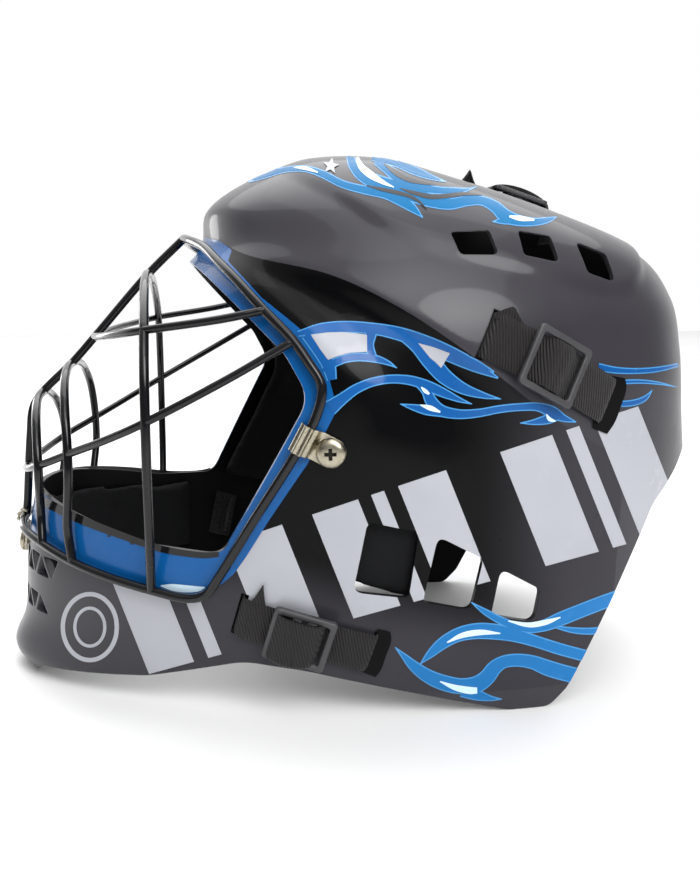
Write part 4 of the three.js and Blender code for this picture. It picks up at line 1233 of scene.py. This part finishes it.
for run in RUNS:
    ending = "_left" if run["twin"] else ""
    up = upward(run)
    if run["name"] == "lower":
        extra = [lower_loop(run),
                 fold_ear("webbing_ear_lower_left", run, 3.4, up * 9.6, 6.0, (0.8, up * 10.5), 0.45, 1.2)]
    elif run["name"] == "upper":
        extra = [fold_ear("webbing_ear_upper_left", run, -1.4, up * 9.2, 15.0, (1.5, up * 5.2), 0.36, 1.0)]
    else:
        extra = [crown_loop(run), fold_ear("webbing_ear_crown", run, -1.5, 9.6, 9.0, (7.5, -1.0))]
    if run["twin"]:
        extra += [inner_tab(f"webbing_tab_{run['name']}_{label}_left", run, s, away)
                  for label, s, away in (("front", 0.0, -1), ("rear", run["end"], 1))]
    for piece in extra:
        place(piece, None, "webbing", WEB_CREASE, run["twin"])
    title, twin = run["name"] + ending, run["twin"]
    place(build_strap(run, f"webbing_{title}"), f"strap_{title}", "webbing", WEB_CREASE, twin)
    place(build_slider(run, f"buckle_{title}"), f"slider_{title}", "slider_plastic", PLASTIC_CREASE, twin)


# ---------------------------------------------------------------- painted ornament
LOWER_OUTLINE = rounded_outline(LOWER_EDGE, 10)
BAR_HOLES = [rounded_outline(c, 5) for c in SIDE_VENTS.values()] + [PAINTED_BORDER]
for run in RUNS[:2]:
    for s in (0.0, run["end"]):
        high = outer_height(run["m"], s)
        corners = [run["m"] @ (Vector((s + i * SLOT_WIDTH * 0.6, high, k * SLOT_LENGTH * 0.51)) * MM)
                   for i, k in SQUARE]
        BAR_HOLES.append([(c.y / MM + CENTRE, c.z / MM) for c in corners])


def settle(x, y, lift):
    """Where the ray through a photo pixel first meets the outer surface, lifted off it."""
    loc, _, index, _ = OUTER.ray_cast(CAM_AT, pixel_ray(x, y))
    if loc is None:
        return None
    tri = OUTER_T[index]
    a, b, c = (Vector(OUTER_V[i]) for i in tri)
    m = Matrix((b - a, c - a, (b - a).cross(c - a))).transposed()
    w = m.inverted() @ (loc - a)
    n = sum((Vector(OUTER_N[i]) * share for i, share in zip(tri, (1 - w.x - w.y, w.x, w.y))), Vector())
    n.normalize()
    return loc + n * (lift * MM)


TOP_EDGE, TOP_STEPS = 24.0, 6
ACROSS, ROW_LIFT, FLAME_RIM = 8, 0.003, 1.25
BAR_LIFT, RING_LIFT, EDGE_LIFT, BODY_LIFT, TRIM_LIFT = 0.08, 0.1, 0.12, 0.22, 0.25
LIGHT_LIFT, TOP_LIFT, SLOT_SHADE_LIFT = 0.34, 0.36, 0.42


def over_the_top(ob, lift):
    """Carries the sheet from a clean cut beside the crown's middle straight on to the middle plane."""
    bm = bmesh.new()
    bm.from_mesh(ob.data)
    everything = bm.verts[:] + bm.edges[:] + bm.faces[:]
    cut = bmesh.ops.bisect_plane(bm, geom=everything, plane_co=(TOP_EDGE * MM, 0, 0), plane_no=(1, 0, 0),
                                 clear_inner=True)["geom_cut"]
    edges = [e for e in cut if isinstance(e, bmesh.types.BMEdge)]
    for _ in range(TOP_STEPS):
        grown = bmesh.ops.extrude_edge_only(bm, edges=edges)["geom"]
        edges = [e for e in grown if isinstance(e, bmesh.types.BMEdge)]
        for v in {v for e in edges for v in e.verts}:
            v.co.x -= TOP_EDGE * MM / TOP_STEPS
            loc = OUTER.ray_cast(Vector((v.co.x, v.co.y, 1)), Vector((0, 0, -1)))[0]
            if loc is not None:
                v.co.z = loc.z + lift * MM
    bm.to_mesh(ob.data)
    bm.free()
    ob.data.update()
    shade(ob)


def sheet_mesh(name, verts, faces, material, lift, holes=()):
    """The painted sheet on the left side and its mirrored copy, trimmed at the shell's edges."""
    ob = mesh_object(name + "_left", verts, faces)
    ob.data.materials.append(material)
    shade(ob)
    for outline in (LOWER_OUTLINE, *holes):
        split_along(ob, outline, keep=-1)
    if "crown" in name:
        over_the_top(ob, lift)
    for o in (ob, mirrored_copy(ob, name + "_right")):
        bm = bmesh.new()
        bm.from_mesh(o.data)
        loose = [v for v in bm.verts if not v.link_faces]
        bmesh.ops.delete(bm, geom=loose, context="VERTS")
        for f in bm.faces:
            co = f.calc_center_median()
            out = Vector((co.x, co.y * 0.4, co.z - 0.12))
            if f.normal.dot(out) < 0:
                f.normal_flip()
        bm.to_mesh(o.data)
        bm.free()
        dress(o, None)


def lay_sheet(name, grids, material, lift, rise=0.0, holes=()):
    """Grids of photo pixels laid on the outer surface. A cell with a missing corner is left out."""
    verts, faces = [], []
    for order, grid in enumerate(grids):
        base, cols = len(verts), len(grid[0])
        found = [at and settle(*at, lift + rise * order) for row in grid for at in row]
        verts += [point or Vector() for point in found]
        for i in range(len(grid) - 1):
            for k in range(i * cols, i * cols + cols - 1):
                cell = (k, k + 1, k + cols + 1, k + cols)
                if all(found[j] for j in cell):
                    faces.append([base + j for j in cell])
    sheet_mesh(name, verts, faces, material, lift, holes)


def ribbons(name, rows, material, lift, trim_width=0.0):
    """Tapered strokes drawn at photo pixels, each row a list of (x, y, half width)."""
    grids = []
    for row in rows:
        curve = catmull(row, step=2.0)
        grid = []
        for i, (x, y, w) in enumerate(curve):
            a, b = curve[max(i - 1, 0)], curve[min(i + 1, len(curve) - 1)]
            d = np.array([b[0] - a[0], b[1] - a[1]])
            d /= max(np.linalg.norm(d), 1e-9)
            half = max(w - trim_width, 0.0)
            offsets = [(2 * k - 1) * max(half, 0.02) for k in shares(ACROSS)]
            grid.append([(x - d[1] * v, y + d[0] * v) if half > 0 else None for v in offsets])
        grids.append(grid)
    lay_sheet(name, grids, material, lift, rise=ROW_LIFT)


def patches(name, pairs, material, lift, holes=(), pitch=2.4):
    """Sheets between two edges drawn at photo pixels, with the vents cut out."""
    grids = []
    for pair in pairs:
        upper, lower = (np.array(edge, float) for edge in pair)
        runs = [np.concatenate([[0], np.cumsum(np.linalg.norm(np.diff(e, axis=0), axis=1))])
                for e in (upper, lower)]
        span = max(np.linalg.norm(upper[0] - lower[0]), np.linalg.norm(upper[-1] - lower[-1]))
        cols, rows = max(4, int(max(run[-1] for run in runs) / pitch)), max(3, int(span / pitch))
        places = [np.linspace(0, run[-1], cols + 1) for run in runs]
        top, foot = (np.stack([np.interp(at, run, e[:, k]) for k in (0, 1)], -1)
                     for at, run, e in zip(places, runs, (upper, lower)))
        grids.append([[tuple(a + (b - a) * share) for share in shares(rows)] for a, b in zip(top, foot)])
    lay_sheet(name, grids, material, lift, holes=holes)


SIDE_FLAMES = [
    [(298, 334, 3), (320, 329, 5.5), (345, 327, 6), (375, 329, 6), (400, 334, 7), (425, 343, 8),
     (450, 354, 8),
     (475, 366, 6), (498, 378, 1)],
    [(324, 371, 4), (334, 363, 4.5), (348, 358, 4.5), (362, 357, 4.5), (376, 359, 4), (388, 363, 2.5),
     (397, 368, 0.4)],
    [(306, 335, 5), (318, 350, 6), (328, 364, 7), (332, 380, 5)],
    [(371, 333, 6), (369, 345, 5), (373, 357, 4)],
    [(404, 336, 6), (418, 346, 8), (430, 360, 9), (444, 376, 8), (462, 388, 6), (482, 395, 3.5),
     (501, 399, 0.4)],
    [(440, 350, 5), (456, 356, 5), (474, 363, 4.5), (494, 372, 1)],
    [(330, 408, 8), (342, 399, 6), (356, 389, 5), (373, 382, 4.5), (393, 379, 4.5), (413, 381, 5),
     (430, 387, 5.5),
     (446, 394, 4.5), (460, 400, 2.5), (472, 404, 0.4)],
    [(418, 383, 4), (426, 391, 5), (431, 401, 6), (440, 410, 6), (458, 414, 5), (478, 413, 4.3),
     (500, 409, 4),
     (520, 407, 4), (538, 407, 4.5), (552, 412, 6), (563, 418, 4), (576, 422, 0.6)],
    [(400, 404, 0.4), (412, 407, 3), (426, 410, 5), (442, 412, 5)],
    [(520, 423, 0.4), (534, 422, 3), (548, 419, 5), (558, 415, 5)],
    [(598, 367, 4), (614, 370, 3.5), (634, 371, 3), (656, 369.5, 2.8), (678, 365, 2)],
    [(600, 385, 1.5), (618, 382.5, 2.2), (640, 381.5, 2.2), (660, 383.5, 1.5), (676, 387, 0.4)],
    [(600, 399, 2), (618, 403.5, 3), (634, 402.5, 3.2), (645, 398, 2.6), (652, 390, 0.4)],
]
SIDE_LIGHTS = [
    [(421, 387, 0.5), (425, 391, 2), (429, 394, 1)],
    [(420, 405, 0.5), (430, 408, 2.6), (440, 412, 0.8)],
    [(546, 414, 0.5), (549, 419, 2), (555, 421, 0.6)],
]
SIDE_WHITES = [
    ([(311, 335), (326, 333), (342, 332.5), (356, 333.5), (367, 335)],
     [(320, 349), (328, 360), (338, 356), (350, 353), (367, 352)]),
    ([(418, 343), (434, 347), (450, 353)], [(430, 358), (435, 362), (441, 368)]),
]
CROWN_FLAMES = [
    [(222, 188, 1), (240, 182, 3), (262, 176, 3.6), (285, 170, 3), (305, 169, 3.4), (322, 174, 4),
     (342, 184, 4),
     (364, 190, 4.5), (386, 194, 5.5), (400, 200, 6), (412, 208, 4.5), (423, 218, 0.4)],
    [(350, 156, 4), (353, 165, 5), (362, 175, 6.5), (378, 183, 8), (396, 189, 8.5), (414, 195, 8),
     (432, 201, 7),
     (450, 204, 6), (467, 201, 5.5), (482, 201, 5), (495, 207, 6), (505, 216, 7), (520, 221, 5.5),
     (536, 222, 4),
     (548, 220, 3), (557, 217, 0.4)],
    [(376, 161, 4), (387, 169, 5), (400, 179, 6), (418, 187, 5), (438, 190.5, 4), (455, 191, 3.5),
     (466, 190, 2),
     (477, 187, 0.4)],
    [(372, 158, 3), (395, 163, 4), (415, 171, 4.5), (430, 177, 3), (446, 182, 0.6)],
    [(492, 222, 0.4), (502, 221, 3.5), (514, 220, 5)],
]
# Strokes of painted shade beside the rear ends of the side straps, where they dive into their slots.
SLOT_SHADE_STROKES = [
    [(384, 630, 6.5), (382, 638, 9.5), (377, 652, 9.5), (372, 666, 9.5), (369, 674, 7)],
    [(618, 377, 6.5), (616, 386, 10), (610, 402, 11), (604, 418, 11), (599, 431, 8)],
]
RIM_BAND = [
    [(36, 497, 3), (46, 502, 4.2), (62, 510.5, 4.4), (80, 519, 4.2), (97, 526, 4), (120, 534.6, 3.6),
     (145, 543.6, 3.4), (165, 549.4, 3.4), (185, 553, 3.2), (205, 555, 3), (219, 554, 2.6)],
    [(86, 518, 2.4), (86.5, 526, 1)], [(110, 528, 2.4), (109, 537, 1)], [(132, 537, 2.4), (132, 544.5, 1)],
]
BORDER_STRIPE = [[(161, 585.5, 0.6), (172, 587, 3.2), (186, 588.6, 3.6), (199, 588.6, 2.4), (205, 587, 0.6)]]
CROWN_GAPS = [
    [(366, 186, 0.3), (380, 189.5, 1.6), (396, 193, 2.0), (410, 197, 1.8), (420, 203, 1.2), (427, 210, 0.3)],
    [(400, 189, 0.3), (414, 193.5, 1.9), (430, 197.2, 2.4), (447, 196.5, 2.2), (463, 194.5, 1.8),
     (482, 195.5, 0.4)],
    [(384, 164, 0.4), (394, 172, 2.6), (408, 180, 2.4), (424, 184, 1.2), (436, 185.5, 0.3)],
]
CROWN_LIGHTS = [
    [(357, 158, 1.5), (361, 167, 3), (370, 175, 3.6), (383, 183, 2), (394, 188, 0.4)],
    [(509, 217, 1), (520, 219, 2.6), (534, 220.5, 1)],
    [(294, 168, 0.4), (306, 169, 1.8), (318, 173, 0.6)],
]
REAR_FLAMES = [
    [(395, 647, 0.4), (404, 656, 3), (414, 666, 5.5), (428, 676, 7), (445, 683, 8), (462, 686, 8),
     (477, 684, 8.5),
     (487, 677, 8), (494, 668, 7.5), (503, 662, 6.5), (516, 660, 6.5), (532, 662, 7), (548, 668, 8),
     (565, 673, 8),
     (590, 679, 8)],
    [(462, 690, 7), (478, 695, 5.5), (490, 698, 3), (502, 699, 0.4)],
    [(420, 664, 0.4), (430, 654, 4), (442, 643.5, 6), (457, 635, 7), (475, 631, 8), (495, 631.5, 8),
     (515, 635, 7),
     (535, 641, 6), (560, 649, 6), (590, 657, 6)],
    [(471, 602, 0.4), (484, 611, 3), (500, 620, 4), (515, 626, 4.5), (530, 628, 5), (545, 625, 6),
     (560, 619, 7),
     (580, 611, 7), (602, 602.5, 7), (626, 594, 7)],
    [(552, 626, 1), (572, 630, 3), (590, 631, 3.5), (615, 628, 3.5)],
]
REAR_LIGHTS = [
    [(447, 642, 0.6), (462, 635, 2.6), (480, 632, 2.8), (500, 633, 0.6)],
    [(440, 681, 0.6), (455, 687, 2.8), (470, 690, 3.6), (477, 690, 3)],
    [(508, 620.5, 0.6), (528, 624.5, 2.4), (545, 622, 2.6), (560, 617, 0.6)],
]


BAND_TOP, BAND_FOOT = [(112, 581), (678, 393)], [(112, 684), (678, 530)]
BAR_STARTS = [(112, 44), (170, 13), (226, 56), (312, 46), (371, 13), (398, 48), (500, 52), (566, 13),
              (594, 44)]
BAR_LEAN = 0.4


def slanted_bar(x, width):
    """Upper and lower edge of one leaning bar of the rising band."""
    upper, lower = [], []
    for left in (x, x + width / 2, x + width):
        (ax, ay), (bx, by) = BAND_TOP
        top = np.array([left, ay + (left - ax) * (by - ay) / (bx - ax)])
        (ax, ay), (bx, by) = BAND_FOOT
        slope = (by - ay) / (bx - ax)
        drop = (ay + (top[0] - ax) * slope - top[1]) / (1 - slope * BAR_LEAN)
        upper.append(tuple(top))
        lower.append((top[0] + BAR_LEAN * drop, top[1] + drop))
    return upper, lower


SILVER_BARS = [slanted_bar(*start) for start in BAR_STARTS]


def ring_ribbon(cx, cy, rx, ry, width):
    """A closed stroke round an ellipse."""
    return [(cx + rx * math.cos(a), cy + ry * math.sin(a), width)
            for a in np.linspace(0, 2 * math.pi, 25)]


def star_arms(cx, cy, long, short, turn):
    """Five kites that meet in the star's middle."""
    arms = []
    for k in range(5):
        a = math.radians(turn - 90 + 72 * k)
        tip = (cx + long * math.cos(a), cy + long * math.sin(a))
        sides = [(cx + short * math.cos(a + d), cy + short * math.sin(a + d)) for d in (-0.628, 0.628)]
        arms.append(([sides[0], tip], [(cx, cy), sides[1]]))
    return arms


for name, rows, body in (("flame_side", SIDE_FLAMES, FLAME_DEEP), ("flame_crown", CROWN_FLAMES, FLAME_CROWN),
                         ("flame_rear", REAR_FLAMES, FLAME_BRIGHT)):
    ribbons(name + "_edge", rows, FLAME_EDGE, EDGE_LIFT)
    ribbons(name + "_body", rows, body, BODY_LIFT, trim_width=FLAME_RIM)
for name, rows in (("flame_side_light", SIDE_LIGHTS), ("flame_crown_light", CROWN_LIGHTS),
                   ("flame_rear_light", REAR_LIGHTS)):
    ribbons(name, rows, FLAME_LIGHT, LIGHT_LIFT)
ribbons("flame_crown_gap", CROWN_GAPS, GAP_BLACK, LIGHT_LIFT)
# Painted shade beside the rear slots, in black strokes.
ribbons("slot_painted_shade", SLOT_SHADE_STROKES, SLOT_SHADE_PAINT, SLOT_SHADE_LIFT)
ribbons("rim_band", RIM_BAND, RIM_TRIM, TRIM_LIFT)
ribbons("border_stripe", BORDER_STRIPE, FLAME_LIGHT, BODY_LIFT)
patches("flame_side_white", SIDE_WHITES, SILVER_PAINT, TOP_LIFT)
patches("crown_star", star_arms(331, 166.5, 8.5, 3.6, 8), SILVER_PAINT, TOP_LIFT, pitch=1.0)
patches("silver_bars", SILVER_BARS, SILVER_PAINT, BAR_LIFT, holes=BAR_HOLES)
ribbons("chin_ring", [ring_ribbon(90, 627, 27, 33, 2.2), ring_ribbon(90, 627, 15, 19, 1.6)], SILVER_PAINT,
        RING_LIFT)


# ---------------------------------------------------------------- padding
# name, 1 for a pad with a twin on the right, thickness, outline in the side view
PADS = [
    ("pad_forehead", 0, 11.0, [(-90, 200, 0), (-52, 202, 0), (-26, 228, 0), (-90, 238, 0)]),
    ("pad_crown", 0, 11.0, [(-14, 222, 0), (52, 222, 0), (52, 260, 0), (-14, 260, 0)]),
    ("pad_nape", 0, 11.0, [(112, 116, 0), (190, 116, 0), (190, 178, 0), (112, 178, 0)]),
    ("pad_cheek", 1, 11.0, [(-58, 73, 0), (17, 54, 0), (32, 120, 0), (20, 186, 0), (-40, 170, 0),
                            (-26, 148, 0), (-26, 135, 0)]),
    ("pad_chin", 0, 7.0, [(-190, 24, 0), (-76, 34, 0), (-74, 72, 0), (-96, 74, 0), (-190, 88, 0)]),
]
PAD_VOXEL, PAD_GAP, PAD_AROUND, PAD_RINGS = 0.003, 0.6, 160, 80


def build_pad(name, side, deep, outline):
    """Foam between two forms inside the wall, cut to an outline in the side view."""
    start = WALL + CLEAR + PAD_GAP
    body = form_mesh(name, start, PAD_AROUND, PAD_RINGS)
    boolean(body, [form_mesh("head", start + deep - 2 * PAD_GAP, PAD_AROUND, PAD_RINGS)])
    boolean(body, [side_prism("outline", outline, 0.0 if side else -FAR)], "INTERSECT")
    mod = body.modifiers.new("remesh", "REMESH")
    mod.mode = "VOXEL"
    mod.voxel_size = PAD_VOXEL
    mod.use_smooth_shade = True
    mod = body.modifiers.new("soften", "SMOOTH")
    mod.factor = 0.5
    mod.iterations = 6
    baked(body)
    puff(body)
    body.data.materials.append(FOAM)
    shade(body)
    return body


COVER_SHRINK, COVER_CAP, COVER_FRAMES, COVER_PRESSURE = 0.7, 1.3, 20, 4.0
COVER_QUALITY, COVER_MASS = 5, 0.2


def puff(ob):
    """Swells the pad's cover with a short cloth run, no further out than the pad's own surface."""
    scene = bpy.context.scene
    normals = np.array([v.normal[:] for v in ob.data.vertices])
    start = np.array([v.co[:] for v in ob.data.vertices]) - normals * COVER_SHRINK * MM
    for v, co in zip(ob.data.vertices, start):
        v.co = co
    cover = ob.modifiers.new("cover", "CLOTH")
    cover.settings.quality = COVER_QUALITY
    cover.settings.mass = COVER_MASS
    cover.settings.use_pressure = True
    cover.settings.uniform_pressure_force = COVER_PRESSURE
    cover.settings.effector_weights.gravity = 0.0
    cover.point_cache.frame_start, cover.point_cache.frame_end = 1, COVER_FRAMES
    for frame_number in range(1, COVER_FRAMES + 1):
        scene.frame_set(frame_number)
    posed = ob.evaluated_get(bpy.context.evaluated_depsgraph_get()).to_mesh()
    moved = np.array([v.co[:] for v in posed.vertices]) - start
    ob.modifiers.remove(cover)
    scene.frame_set(1)
    reach = np.linalg.norm(moved, axis=1, keepdims=True)
    moved *= np.minimum(1.0, COVER_CAP * MM / np.maximum(reach, 1e-9))
    climb = np.sum(moved * normals, axis=1, keepdims=True)
    moved -= normals * np.maximum(climb - COVER_SHRINK * MM, 0)
    for v, co in zip(ob.data.vertices, start + moved):
        v.co = co
    ob.data.update()


for name, side, deep, outline in PADS:
    pad = build_pad(f"foam_{name[4:]}" + ("_left" if side else ""), side, deep, outline)
    dress(pad, name + ("_left" if side else ""))
    if side:
        twin = mirrored_copy(pad, f"foam_{name[4:]}_right")
        shade(twin)
        dress(twin, name + "_right")


# ---------------------------------------------------------------- floor and light
FLOOR_LEVEL = -0.0002
corners = [(x, y, FLOOR_LEVEL) for x, y in ((-3.4, -3), (3, -3), (3, 3), (-3.4, 3))]
floor = mesh_object("floor", corners, [(0, 1, 2, 3)])
floor.data.materials.append(floor_material())


def area_light(name, at, target, size, power, spread=180):
    """An elliptical light at a place, turned to a target."""
    data = bpy.data.lights.new(name, "AREA")
    data.shape = "ELLIPSE"
    data.size, data.size_y = size
    data.energy = power
    data.spread = math.radians(spread)
    ob = bpy.data.objects.new(name, data)
    bpy.context.collection.objects.link(ob)
    d = Vector(target) - Vector(at)
    ob.rotation_euler = d.to_track_quat("-Z", "Y").to_euler()
    ob.location = at


CAMERA_SIDE, OVERHEAD = 0.14, 0.5


def studio_world():
    """Pale surround: white behind the mask, dimmer towards the camera, brighter overhead."""
    data = bpy.data.worlds.new("world")
    data.use_nodes = True
    nt = data.node_tree
    back = nt.nodes["Background"]
    direction = node(nt, "ShaderNodeTexCoord").outputs["Generated"]
    xyz = node(nt, "ShaderNodeSeparateXYZ", {0: direction})
    behind = node(nt, "ShaderNodeMapRange", {0: xyz.outputs[0], 1: -0.2, 2: -0.7, 3: CAMERA_SIDE, 4: 1.0},
                  interpolation_type="SMOOTHSTEP")
    above = node(nt, "ShaderNodeMapRange", {0: xyz.outputs[2], 1: 0.12, 2: 0.6, 3: 0.0, 4: OVERHEAD},
                 interpolation_type="SMOOTHSTEP")
    both = node(nt, "ShaderNodeMath", {0: behind.outputs[0], 1: above.outputs[0]}, operation="MAXIMUM")
    nt.links.new(both.outputs[0], back.inputs[1])
    back.inputs[0].default_value = (1.0, 1.0, 1.0, 1)
    return data


area_light("top", (-0.35, 0.05, 1.3), (-0.3, 0.05, 0), (1.3, 1.8), 2.6, spread=100)
area_light("slope", (0.85, 0.15, 1.25), (-0.1, 0.05, 0.15), (1.2, 2.2), 4.3, spread=70)
area_light("glow", (1.2, 0.5, 0.86), (0.08, 0.03, 0.17), (0.7, 0.75), 1.5, spread=70)
area_light("front", (-1.15, -0.85, 0.3), (0, -0.1, 0.16), (0.35, 0.6), 2.2)
area_light("backdrop", (-2.2, 0, 2.5), (-2.2, 0, 0), (4.2, 5.5), 80)
bpy.context.scene.world = studio_world()
bpy.context.scene.view_settings.view_transform = "Standard"
